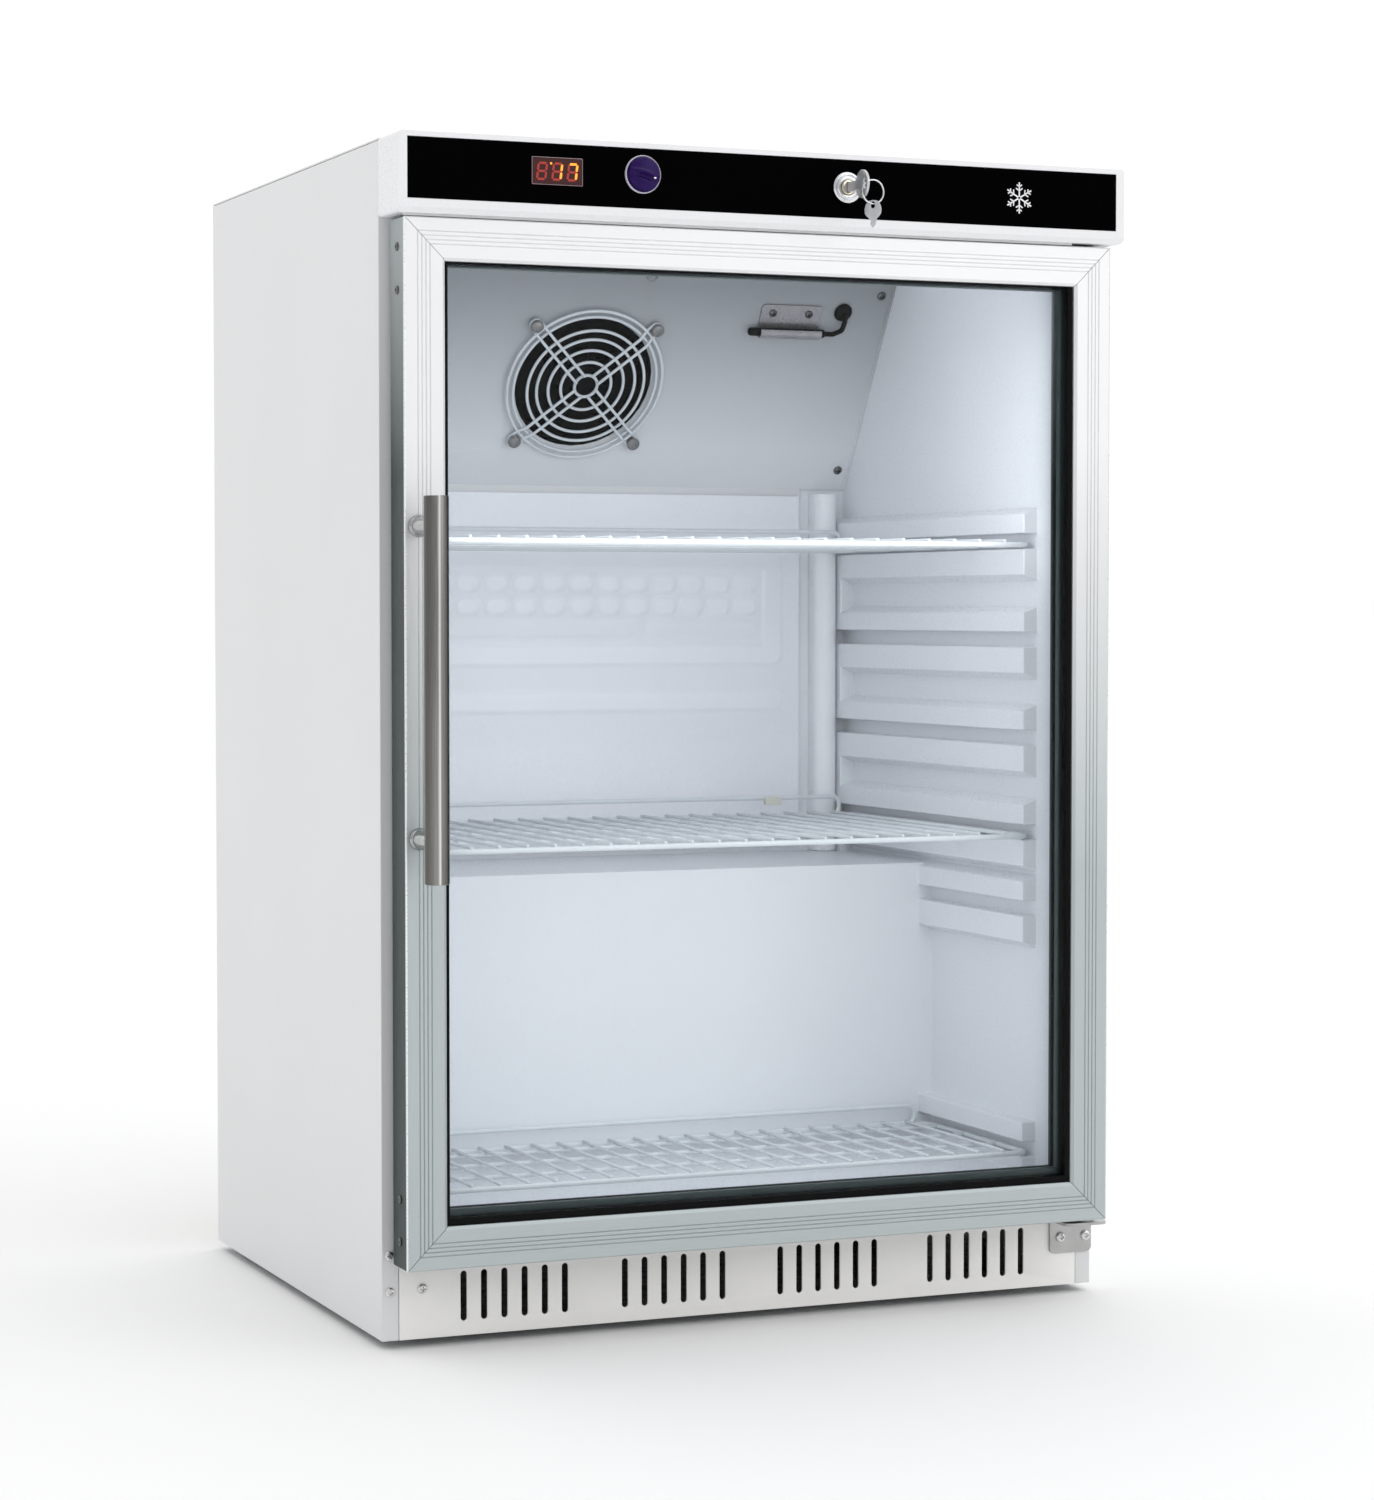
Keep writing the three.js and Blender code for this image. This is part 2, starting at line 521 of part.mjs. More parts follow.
function knobBezel() {
  const y = -CROWN_DEPTH - GAP;
  return cut(rodAlongY(KNOB.x, KNOB.z, KNOB.bezel, y - 2.2, y, 24),
    rodAlongY(KNOB.x, KNOB.z, KNOB.radius + 0.6, y - 5, y + 5, 24));
}

// A domed knob on its shaft, with a raised pointer bar across the dome.
function thermostatKnob() {
  const back = CROWN_DEPTH + GAP;
  const profile = [[0, back - 12], [KNOB.shaft, back - 12], [KNOB.shaft, back], [KNOB.radius, back],
    [KNOB.radius, back + 3], [8.5, back + 5.6], [4, back + 7], [0, back + 7.2]];
  const dome = turned(profile, 20).rotateX(Math.PI / 2);
  const pointer = box(-9.5, 9.5, -back - 8.4, -back - 2, -1.6, 1.6).rotateY(-0.45);
  return join(dome, pointer).translate(KNOB.x, 0, KNOB.z);
}

function lockBarrel() {
  const y = -CROWN_DEPTH - GAP;
  const rim = rodAlongY(LOCK.x, LOCK.z, LOCK.rim, y - 3, y, 24);
  const barrel = rodAlongY(LOCK.x, LOCK.z, LOCK.barrel, y - 1, -23.5);
  return cut(join(rim, barrel), rodAlongY(LOCK.x, LOCK.z, LOCK.plug + 0.35, y - 9, -10));
}

function lockPlug() {
  const plug = rodAlongY(LOCK.x, LOCK.z, LOCK.plug, -CROWN_DEPTH - 3.8, LOCK_ARM.front - GAP);
  const keyway = box(LOCK.x - KEY.thick - GAP, LOCK.x + KEY.thick + GAP, -60, -27.7,
    LOCK.z - KEY.half - GAP, LOCK.z + KEY.half + GAP);
  return cut(plug, keyway);
}

// The locking arm behind the barrel. It lies level when open and drops into the door when locked.
function lockCam() {
  const { half, front, back, length } = LOCK_ARM;
  const shape = new THREE.Shape();
  shape.absarc(LOCK.x, LOCK.z, half, -0.5 * Math.PI, 0.5 * Math.PI);
  shape.lineTo(LOCK.x - length, LOCK.z + half);
  shape.lineTo(LOCK.x - length, LOCK.z - half);
  return standing(shape, front, back);
}

// A round bow that runs into a straight blade with a pointed tip.
function keyOutline(bow, blade, hole) {
  const shape = new THREE.Shape();
  const neck = Math.asin(blade.half / bow.radius);
  shape.absarc(bow.u, blade.v, bow.radius, neck, 2 * Math.PI - neck);
  shape.lineTo(blade.tip - 3, blade.v - blade.half);
  shape.lineTo(blade.tip, blade.v);
  shape.lineTo(blade.tip - 3, blade.v + blade.half);
  shape.holes.push(new THREE.Path().absarc(hole.u, blade.v, hole.radius, 0, 2 * Math.PI));
  return shape;
}

function key() {
  const bow = { u: KEY.bowY, radius: KEY.bow };
  const blade = { v: LOCK.z, half: KEY.half, tip: KEY.tipY };
  const hole = { u: KEY.holeY, radius: KEY.hole };
  return sideways(keyOutline(bow, blade, hole), LOCK.x - KEY.thick, LOCK.x + KEY.thick);
}

// The split ring passes slantwise through the bow, so the key can turn inside it.
function keyRing() {
  const ring = new THREE.TorusGeometry(RING.radius, RING.wire, 6, 24).rotateX(Math.PI / 2);
  return ring.translate(LOCK.x + RING_OFFSET, KEY.holeY, LOCK.z - RING_OFFSET);
}

// The spare hangs from the ring's lowest point and ends just above the door.
function spareKey() {
  const ringLow = LOCK.z - RING_OFFSET - RING.radius;
  const tip = ringLow - (DOOR.top + SPARE.clearance);
  const bow = { u: SPARE.bowDrop, radius: SPARE.bow };
  const shape = keyOutline(bow, { v: 0, half: SPARE.half, tip }, { u: 0, radius: SPARE.hole });
  const flat = new THREE.ExtrudeGeometry(shape, { depth: 1.4, bevelEnabled: false, curveSegments: 6 });
  flat.translate(0, 0, -0.7).rotateY(Math.PI / 2).rotateZ(THREE.MathUtils.degToRad(SPARE.turn));
  return flat.translate(LOCK.x + RING_OFFSET, KEY.holeY, ringLow);
}

// ---------------------------------------------------------------- door
// One mitred aluminium bar of the door's front frame. "inward" points from the door's edge to its middle.
function frameBar(inward, halfLength, edgeX, edgeZ) {
  const front = DOOR.front;
  const points = [[0.3, front + FRAME_DEPTH], [0, front + 0.8], [0.8, front]];
  for (let i = 0; i < GROOVES.count; i += 1) {
    const w = GROOVES.first + i * GROOVES.pitch;
    points.push([w, front], [w + 0.5, front + GROOVES.depth], [w + 1, front]);
  }
  points.push([FRAME_WIDTH - 2.2, front], [FRAME_WIDTH, front + 1.8], [FRAME_WIDTH, front + FRAME_DEPTH]);
  const bar = new THREE.ExtrudeGeometry(outline(points), { depth: 2 * halfLength, bevelEnabled: false });
  bar.translate(0, 0, -halfLength);
  const position = bar.attributes.position;
  for (let i = 0; i < position.count; i += 1) {
    const mitre = position.getX(i) + 0.2;
    const end = position.getZ(i);
    position.setZ(i, end - Math.sign(end) * mitre);
  }
  const across = new THREE.Vector3(0, 1, 0);
  bar.applyMatrix4(new THREE.Matrix4().makeBasis(inward, across, inward.clone().cross(across)));
  return bar.translate(edgeX, 0, edgeZ);
}

// The door's plastic body: a deep ring behind the frame, with a rebate that holds the inner pane.
function doorCore() {
  const front = DOOR.front + FRAME_DEPTH + GAP;
  const ring = doorBorder(allRound(GAP), allRound(CORE_INSET), front, DOOR.back);
  const behindPane = GLASS.inner + GLASS.thickness + GAP;
  const rebate = doorBorder(allRound(CORE_INSET - 1), SPACER_SIGHT, behindPane, behindPane + 3);
  const socket = (z0, z1) => rodAlongZ(HINGE.x, HINGE.y, HINGE.pin + 0.6, z0, z1);
  const lockSlot = box(LOCK.x - 37, LOCK.x + 8,
    LOCK_ARM.front - 2.5, LOCK_ARM.back + 2.5, DOOR.top - 14, DOOR.top + 1);
  const sockets = [socket(DOOR.bottom - 1, DOOR.bottom + 16), socket(DOOR.top - 16, DOOR.top + 1)];
  return cut(join(ring, rebate), ...sockets, lockSlot);
}

function pane(front) {
  return box(-DOOR.half + PANE_INSET, DOOR.half - PANE_INSET, front, front + GLASS.thickness,
    DOOR.bottom + PANE_INSET, DOOR.top - PANE_INSET);
}

function glazingSeal() {
  return doorBorder(allRound(CORE_INSET + GAP), SEAL_SIGHT, GLASS.outer - 6.5, GLASS.outer - GAP);
}

function glazingSpacer() {
  const behindOuter = GLASS.outer + GLASS.thickness + GAP;
  return doorBorder(allRound(PANE_INSET), SPACER_SIGHT, behindOuter, GLASS.inner - GAP);
}

function doorGasket() {
  return doorBorder(allRound(GASKET.outer), allRound(GASKET.inner), GASKET.front, GASKET.back);
}

// A post stands on the door frame and is hollowed at its tip to seat the round bar.
function handlePost(z) {
  const post = rodAlongY(HANDLE.x, z, HANDLE.post, HANDLE.y, DOOR.front - GAP, 16);
  return cut(post, rodAlongZ(HANDLE.x, HANDLE.y, HANDLE.radius + GAP, z - 20, z + 20, 24));
}

function handleBar() {
  return rodAlongZ(HANDLE.x, HANDLE.y, HANDLE.radius, HANDLE.bottom, HANDLE.top, 24);
}

// A bracket screwed to the cabinet's face, with a ledge that carries the door's hinge pin.
function hingeBracketBottom() {
  const top = 58.5;
  const plate = standing(roundedRectangle(BRACKET.left, HALF_WIDTH, 31, top, BRACKET.radius), -2.2, -GAP);
  const ledge = box(BRACKET.left, HALF_WIDTH, HINGE.y - BRACKET.ledge, -GAP, top - BRACKET.thickness, top);
  const collar = rodAlongZ(HINGE.x, HINGE.y, HINGE.collar, top - 0.5, DOOR.bottom - GAP);
  return join(plate, ledge, collar, rodAlongZ(HINGE.x, HINGE.y, HINGE.pin, top - 0.5, DOOR.bottom + 14));
}

// Its upper partner hides in the crown, let into a notch in the crown's floor.
function hingeBracketTop() {
  const right = HALF_WIDTH - CROWN_WALL - 0.5;
  const low = CROWN_BOTTOM + 0.2;
  const plate = box(BRACKET.left, right, -2.6, -0.6, low, 832);
  const ledge = box(BRACKET.left, right, HINGE.y - BRACKET.ledge, -0.6, low, low + BRACKET.thickness);
  const pin = rodAlongZ(HINGE.x, HINGE.y, HINGE.pin, DOOR.top - 14.5, low + 1);
  return join(plate, ledge, pin);
}

// ---------------------------------------------------------------- refrigeration
function compressor() {
  const { x, y, radius, stretch, railHalf, railY, railWidth } = COMPRESSOR;
  const base = PAN.top + GAP;
  const inner = radius - 9;
  const profile = [[0, base + 148], [40, base + 142], [inner - 4, base + 126], [inner, base + 90],
    [inner, base + 40], [52, base + 8], [64, base + 8], [radius, base + 34], [radius, base + 92],
    [radius + 3, base + 94], [radius + 3, base + 98], [radius - 2, base + 100], [68, base + 134],
    [44, base + 152], [0, base + 158]];
  const shell = turned(profile, 24).scale(stretch, 1, 1);
  const rail = (side) => box(-railHalf, railHalf,
    side * railY - railWidth / 2, side * railY + railWidth / 2, base, base + 9);
  return join(shell, rail(-1), rail(1)).translate(x, y, 0);
}

function relayBox() {
  const { y, radius, stretch } = COMPRESSOR;
  const x = COMPRESSOR.x - radius * stretch - 3.5;
  return box(x - RELAY.width, x, y - RELAY.half, y + RELAY.half, RELAY.bottom, RELAY.top);
}

// The tray that catches the defrost water, open at the top, on two long legs.
function dripTray() {
  const { x, half, front, back, bottom, top, wall } = TRAY;
  const tray = lying(roundedRectangle(x - half, x + half, front, back, 12), bottom, top);
  const room = lying(roundedRectangle(x - half + wall, x + half - wall, front + wall, back - wall, 10),
    bottom + wall, top + 6);
  const leg = (dx) => box(x + dx - 6, x + dx + 6, front + 10, back - 10, PAN.top + GAP, bottom + 2);
  return cut(join(tray, leg(-38), leg(38)), room);
}

// The rear condenser: level tube runs between two upright strips, on four stand-offs.
function condenserCoil() {
  const { half, bottom, top, front, depth, strip, tube } = CONDENSER;
  const pitch = (top - bottom - tube) / CONDENSER_RUNGS;
  const windows = Array.from({ length: CONDENSER_RUNGS }, (_, i) => {
    const z = bottom + tube + i * pitch;
    return box(-half + strip, half - strip, front - 1, front + depth + 1, z, z + pitch - tube);
  });
  const coil = cut(box(-half, half, front, front + depth, bottom, top), ...windows);
  const standOff = (x, z) => box(x - 5, x + 5, DEPTH + GAP, front + 1, z - 8, z + 8);
  const corners = [-1, 1].flatMap((side) =>
    [bottom + 40, top - 40].map((z) => standOff(side * (half - strip / 2), z)));
  return join(coil, ...corners);
}

function filterDrier() {
  const profile = [[0, 0], [3, 0], [3, 12], [11, 22], [11, 78], [4, 90], [4, 100], [0, 100]];
  return turned(profile, 12).translate(DRIER.x, DRIER.y, DRIER.bottom);
}

// The points each pipe passes through start just off the compressor's shell.
function dischargePipe() {
  const { x, y, radius, stretch } = COMPRESSOR;
  const start = x + radius * stretch + 1.5;
  const rise = [[start, y + 10, 86], [x + 108, y + 14, 90], [x + 128, y + 40, 120], [x + 132, 440, 190]];
  const across = [[x + 110, 462, 260], [-60, 464, 308], [-170, 462, 314], [-200, 460, 320]];
  const end = [[-206, 460, 332], [-206, 460, CONDENSER.bottom - 1]];
  return pipe([...rise, ...across, ...end], 3, 22, 6);
}

function suctionPipe() {
  const { x, y, radius, stretch } = COMPRESSOR;
  const start = x + radius * stretch + 1.5;
  const right = x + 196;
  const rise = [[start, y - 14, 70], [x + 118, y - 12, 76], [x + 170, y + 20, 130], [x + 190, y + 66, 190]];
  const bend = [[right, DEPTH + 16, 260], [right, DEPTH + 18, 310], [right, DEPTH + 13, 326]];
  const end = [[right, DEPTH + 7, 330], [right, DEPTH + 1, 330]];
  return pipe([...rise, ...bend, ...end], 4, 22, 6);
}

// ---------------------------------------------------------------- everything in its place
place("side_panel_left", sidePanel(-1), whitePaint);
place("side_panel_right", sidePanel(1), whitePaint);
place("top_panel", topPanel(), whitePaint);
place("back_panel", backPanel(), galvanised);
place("base_pan", basePan(), galvanised);
place("plinth_grille", plinthGrille(), whitePaint);
place("insulation_foam", insulation(), foam);
place("liner", liner(), linerPlastic);
place("machine_bay_panel", machineBayPanel(), galvanised);
place("evaporator_plate", evaporatorPlate(), paintedAluminium);
place("rear_duct", rearDuct(), linerPlastic);
footPlaces().forEach(([name, x, y]) => place(`foot_${name}`, levellingFoot(x, y), darkPlastic));
place("cord_gland", cordGland(), darkPlastic);

place("shelf_top", shelf(RAIL_TOPS[0], SHELF.rear), whiteWire);
place("shelf_middle", shelf(RAIL_TOPS[3], SHELF.rear), whiteWire);
place("shelf_bottom", shelf(FLOOR_RAIL, HUMP.front - 7), whiteWire);

place("fan_panel", fanPanel(), whitePaint, fanGroup);
place("fan_housing", fanHousing(), darkPlastic, fanGroup);
place("fan_rotor", fanRotor(), darkPlastic, fanGroup);
place("fan_guard", fanGuard(), whiteWire, fanGroup);
place("sensor_bracket", sensorBracket(), chrome, fanGroup);
place("sensor_probe", sensorProbe(), blackRubber, fanGroup);
place("cable_grommet", cableGrommet(), blackRubber, fanGroup);

place("crown_housing", crownHousing(), whitePaint);
place("control_fascia", controlFascia(), blackAcrylic);
place("display_module", displayModule(), redWindow);
place("thermostat_body", thermostatBody(), darkPlastic);
place("knob_bezel", knobBezel(), chrome);
place("thermostat_knob", thermostatKnob(), purplePlastic);
place("lock_barrel", lockBarrel(), chrome);
place("lock_plug", lockPlug(), brass);
place("lock_cam", lockCam(), brushedSteel);
place("key", key(), chrome);
place("key_ring", keyRing(), chrome);
place("spare_key", spareKey(), chrome);

const down = new THREE.Vector3(0, 0, -1);
const up = new THREE.Vector3(0, 0, 1);
const right = new THREE.Vector3(1, 0, 0);
const left = new THREE.Vector3(-1, 0, 0);
place("door_frame_top", frameBar(down, DOOR.half, 0, DOOR.top), satinAluminium);
place("door_frame_bottom", frameBar(up, DOOR.half, 0, DOOR.bottom), satinAluminium);
place("door_frame_left", frameBar(right, DOOR_HALF_HEIGHT, -DOOR.half, DOOR_MIDDLE), satinAluminium);
place("door_frame_right", frameBar(left, DOOR_HALF_HEIGHT, DOOR.half, DOOR_MIDDLE), satinAluminium);
place("door_core", doorCore(), greyDoorCore);
place("glazing_seal", glazingSeal(), blackRubber);
place("glass_outer", pane(GLASS.outer), clearGlass);
place("glazing_spacer", glazingSpacer(), slateSpacer);
place("glass_inner", pane(GLASS.inner), clearGlass);
place("door_gasket", doorGasket(), greyRubber);
place("handle_bar", handleBar(), brushedSteel);
place("handle_post_bottom", handlePost(HANDLE.posts[0]), chrome);
place("handle_post_top", handlePost(HANDLE.posts[1]), chrome);
place("hinge_bracket_bottom", hingeBracketBottom(), brushedSteel);
place("hinge_bracket_top", hingeBracketTop(), brushedSteel);

place("compressor", compressor(), blackEnamel);
place("relay_box", relayBox(), darkPlastic);
place("drip_tray", dripTray(), darkPlastic);
place("condenser_coil", condenserCoil(), blackEnamel);
place("filter_drier", filterDrier(), copper);
place("discharge_pipe", dischargePipe(), copper);
place("suction_pipe", suctionPipe(), copper);

// The origin is the middle of the whole object's box in X and Y, on the floor.
const extent = new THREE.Box3().setFromObject(fridge);
fridge.position.y = -(extent.min.y + extent.max.y) / 2;

export default fridge;
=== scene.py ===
"""Looks of the reach-in refrigerator: fine meshes, materials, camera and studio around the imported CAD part.

Lengths are metres. Numbers written in millimetres are multiplied by MM where they enter.
"""

import json
import math

import bmesh
import bpy
import numpy as np
from mathutils import Matrix, Vector


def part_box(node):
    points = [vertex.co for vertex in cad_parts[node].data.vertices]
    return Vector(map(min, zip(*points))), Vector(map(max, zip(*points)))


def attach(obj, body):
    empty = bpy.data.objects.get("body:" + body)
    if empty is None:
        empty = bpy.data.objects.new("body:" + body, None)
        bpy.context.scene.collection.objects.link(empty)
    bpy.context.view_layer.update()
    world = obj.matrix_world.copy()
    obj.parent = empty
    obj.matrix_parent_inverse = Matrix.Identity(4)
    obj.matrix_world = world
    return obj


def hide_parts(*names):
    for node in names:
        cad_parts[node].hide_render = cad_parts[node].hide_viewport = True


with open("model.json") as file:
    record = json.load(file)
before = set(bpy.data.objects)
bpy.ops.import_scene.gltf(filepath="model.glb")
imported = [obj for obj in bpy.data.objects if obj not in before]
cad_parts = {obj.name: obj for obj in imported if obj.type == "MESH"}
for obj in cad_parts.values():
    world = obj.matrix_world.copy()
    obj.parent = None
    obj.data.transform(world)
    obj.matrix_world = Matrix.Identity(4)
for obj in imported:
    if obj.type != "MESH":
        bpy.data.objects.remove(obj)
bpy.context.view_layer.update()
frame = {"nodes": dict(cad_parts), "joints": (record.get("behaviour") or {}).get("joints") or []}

MM = 0.001
X_AXIS = Vector((1, 0, 0))
Y_AXIS = Vector((0, 1, 0))
Z_AXIS = Vector((0, 0, 1))
FACE_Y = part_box("plinth_grille")[0].y
SHEET = 1.5 * MM
DOOR_LOW = Vector((*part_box("door_frame_left")[0].xy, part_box("door_frame_bottom")[0].z))
DOOR_HIGH = Vector((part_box("door_frame_right")[1].x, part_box("door_core")[1].y,
                    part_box("door_frame_top")[1].z))
# How far the glazing seal and spacer reach in from each edge of the door, in millimetres.
SEAL_SIGHT = {"left": 33.4, "right": 35.0, "bottom": 36.0, "top": 32.2}
SPACER_SIGHT = {"left": 33.8, "right": 35.5, "bottom": 40.0, "top": 32.4}


# ---------------------------------------------------------------- frames
def middle(node):
    low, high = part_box(node)
    return (low + high) / 2


def joint(name):
    return next(j for j in frame["joints"] if j["name"] == name)


def metres(points):
    """The same points, given in millimetres."""
    return [tuple(c * MM for c in p) for p in points]


def standing_frame(origin, across, up):
    """A frame whose u runs across, v runs up, and w stands out of the surface."""
    turn = Matrix((across, up, across.cross(up))).transposed().to_4x4()
    return Matrix.Translation(origin) @ turn


def facing_front(x, y, z):
    return standing_frame(Vector((x, y, z)), X_AXIS, Z_AXIS)


def facing_back(x, y, z):
    return standing_frame(Vector((x, y, z)), -X_AXIS, Z_AXIS)


def facing_up(x, y, z):
    return Matrix.Translation(Vector((x, y, z)))


def fan_frame():
    """The sloped panel's frame, with its origin at the fan's centre on the panel's surface."""
    spin = joint("fan_spin")
    out = Vector(spin["axis"]).normalized()
    hub = Vector(spin["pos_m"])
    low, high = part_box("fan_panel")
    foot = Vector((hub.x, high.y, low.z))
    lift = (foot - hub).dot(out) + SHEET * out.dot(-Y_AXIS)
    return standing_frame(hub + out * lift, X_AXIS, out.cross(X_AXIS))


FAN = fan_frame()


# ---------------------------------------------------------------- outlines
def arc(u, v, radius, start, stop, steps):
    """Points of a round stretch; the angles are in degrees."""
    angles = [math.radians(start + (stop - start) * i / steps) for i in range(steps + 1)]
    return [(u + radius * math.cos(a), v + radius * math.sin(a)) for a in angles]


def circle(u, v, radius, steps=48):
    return arc(u, v, radius, 0, 360, steps)[:-1]


def oblong(u, v, half_gap, radius, steps):
    """A round-ended hole that stands along v."""
    return (arc(u, v + half_gap, radius, 0, 180, steps)
            + arc(u, v - half_gap, radius, 180, 360, steps))


def rounded_rectangle(u0, u1, v0, v1, radius, steps=6):
    corners = [(u0 + radius, v0 + radius, 180), (u1 - radius, v0 + radius, 270),
               (u1 - radius, v1 - radius, 0), (u0 + radius, v1 - radius, 90)]
    return [p for u, v, start in corners for p in arc(u, v, radius, start, start + 90, steps)]


def rounded_path(corners, radius, closed=False, steps=6):
    """A path through the corners, each corner replaced by a round bend."""
    corners = [Vector(c) for c in corners]
    count = len(corners)
    path = []
    for i, corner in enumerate(corners):
        if not closed and i in (0, count - 1):
            path.append(corner)
            continue
        start = (corners[i - 1] - corner).normalized()
        stop = (corners[(i + 1) % count] - corner).normalized()
        half = start.angle(stop) / 2
        reach = radius / math.tan(half)
        bend = corner + (start + stop).normalized() * (radius / math.sin(half))
        first = (corner + start * reach - bend).normalized()
        last = (corner + stop * reach - bend).normalized()
        path += [bend + first.slerp(last, k / steps) * radius for k in range(steps + 1)]
    return path


def new_object(name, data):
    thing = bpy.data.objects.new(name, data)
    bpy.context.scene.collection.objects.link(thing)
    return thing


# ---------------------------------------------------------------- shapes, each as (points, faces)
def bridge(rings, closed=False):
    """Quads and end fans that join rings of points; a ring of one point is a pole."""
    points = [p for ring in rings for p in ring]
    starts = np.cumsum([0] + [len(ring) for ring in rings])
    pairs = list(zip(range(len(rings)), range(1, len(rings))))
    if closed:
        pairs.append((len(rings) - 1, 0))
    faces = []
    for a, b in pairs:
        sides = max(len(rings[a]), len(rings[b]))
        for i in range(sides):
            j = (i + 1) % sides
            face = [starts[a] + i % len(rings[a]), starts[a] + j % len(rings[a]),
                    starts[b] + j % len(rings[b]), starts[b] + i % len(rings[b])]
            faces.append([int(v) for k, v in enumerate(face) if v != face[k - 1]])
    return points, faces


def turned(profile, sides=48, closed=False):
    """A profile of (radius, height) turned about w."""
    rings = []
    for radius, height in profile:
        if radius == 0:
            rings.append([(0, 0, height)])
        else:
            rings.append([(u, v, height) for u, v in circle(0, 0, radius, sides)])
    return bridge(rings, closed)


def tube(path, radius, sides=12, closed=False):
    """A round rod along a path; open ends are softly domed."""
    path = [Vector(p) for p in path]
    count = len(path)
    rings = []
    normal = None
    for i, point in enumerate(path):
        before = path[i - 1] if closed or i else point
        after = path[(i + 1) % count] if closed or i < count - 1 else point
        along = (after - before).normalized()
        normal = normal or along.orthogonal()
        normal = (normal - along * normal.dot(along)).normalized()
        side = along.cross(normal)
        rim = [point + (normal * u + side * v) for u, v in circle(0, 0, radius, sides)]
        if not closed and i in (0, count - 1):
            out = -along if i == 0 else along
            dome = [[point + (p - point) * share + out * (radius * height) for p in rim]
                    for share, height in ((0.86, 0.3), (0.5, 0.5))]
            dome.append([point + out * (radius * 0.55)])
            rings += dome[::-1] + [rim] if i == 0 else [rim] + dome
        else:
            rings.append(rim)
    return bridge(rings, closed)


def prism(outline, w0, w1):
    bottom = [(u, v, w0) for u, v in outline]
    top = [(u, v, w1) for u, v in outline]
    points, faces = bridge([bottom, top])
    count = len(outline)
    return points, faces + [list(range(count))[::-1], list(range(count, 2 * count))]


def block(u0, u1, v0, v1, w0, w1):
    return prism([(u0, v0), (u1, v0), (u1, v1), (u0, v1)], w0, w1)


def pierced(loops, w0, w1, rim):
    """A plate with holes and rounded edges. The first loop is its outline and the others are holes."""
    curve = bpy.data.curves.new("plate_outline", "CURVE")
    curve.dimensions = "2D"
    curve.fill_mode = "BOTH"
    curve.extrude = (w1 - w0) / 2 / MM - rim / MM
    curve.bevel_depth = rim / MM
    curve.bevel_resolution = 1
    curve.offset = -rim / MM
    for loop in loops:
        spline = curve.splines.new("POLY")
        spline.points.add(len(loop) - 1)
        for point, (u, v) in zip(spline.points, loop):
            point.co = (u / MM, v / MM, 0, 1)
        spline.use_cyclic_u = True
    holder = new_object("plate_outline", curve)
    shaped = holder.evaluated_get(bpy.context.evaluated_depsgraph_get())
    mesh = bpy.data.meshes.new_from_object(shaped)
    lift = Vector((0, 0, (w0 + w1) / 2))
    points = [v.co * MM + lift for v in mesh.vertices]
    faces = [list(f.vertices) for f in mesh.polygons]
    bpy.data.objects.remove(holder)
    bpy.data.curves.remove(curve)
    bpy.data.meshes.remove(mesh)
    return points, faces


def mitred_ring(profile_of):
    """A closed profile of (inset from the door's edge, y) for each side, mitred at the door's corners."""
    rings = []
    for side, level in (("left", "bottom"), ("right", "bottom"), ("right", "top"), ("left", "top")):
        edge_x, inward_x = (DOOR_LOW.x, 1) if side == "left" else (DOOR_HIGH.x, -1)
        edge_z, inward_z = (DOOR_LOW.z, 1) if level == "bottom" else (DOOR_HIGH.z, -1)
        rings.append([(edge_x + inward_x * across[0], across[1], edge_z + inward_z * upright[0])
                      for across, upright in zip(profile_of(side), profile_of(level))])
    return bridge(rings, closed=True)


def polar_dome(radius, rings, sides, height_at):
    """A round cap whose height over (u, v) comes from a function, closed by a flat base at height 0."""
    rows = [[(0, 0, 0)], [(u, v, 0) for u, v in circle(0, 0, radius, sides)]]
    for k in range(rings, 0, -1):
        ring = circle(0, 0, radius * k / rings, sides)
        rows.append([(u, v, height_at(u, v)) for u, v in ring])
    rows.append([(0, 0, height_at(0, 0))])
    return bridge(rows)


def screw_head(radius, height):
    """A pan head with a cross recess."""
    arm = radius * 0.52
    slot = radius * 0.15

    def height_at(u, v):
        crown = height * math.sqrt(max(0.0, 1 - 0.85 * ((u * u + v * v) / radius ** 2) ** 1.6))
        inside = min(abs(u), abs(v)) < slot and max(abs(u), abs(v)) < arm
        return crown * 0.4 if inside else crown

    return polar_dome(radius, 9, 32, height_at)


# ---------------------------------------------------------------- pieces
class Piece:
    """Gathers the points and faces of one piece, in the row frame."""

    def __init__(self):
        self.points = []
        self.faces = []

    def add(self, shape, place=None):
        points, faces = shape
        start = len(self.points)
        for p in points:
            point = Vector(p)
            self.points.append(place @ point if place else point)
        self.faces += [[i + start for i in face] for face in faces]
        return self

    def make(self, name, body, material, slot, replaces="", bevel=0.0, smooth=38):
        mesh = bpy.data.meshes.new(name)
        mesh.from_pydata(self.points, [], self.faces)
        mesh.materials.append(material)
        work = bmesh.new()
        work.from_mesh(mesh)
        bmesh.ops.remove_doubles(work, verts=work.verts, dist=1e-7)
        bmesh.ops.recalc_face_normals(work, faces=work.faces)
        work.to_mesh(mesh)
        work.free()
        mesh.shade_smooth()
        mesh.set_sharp_from_angle(angle=math.radians(smooth))
        piece = new_object(name, mesh)
        if bevel:
            soften(piece, bevel)
        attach(piece, body)
        if replaces:
            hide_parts(replaces)


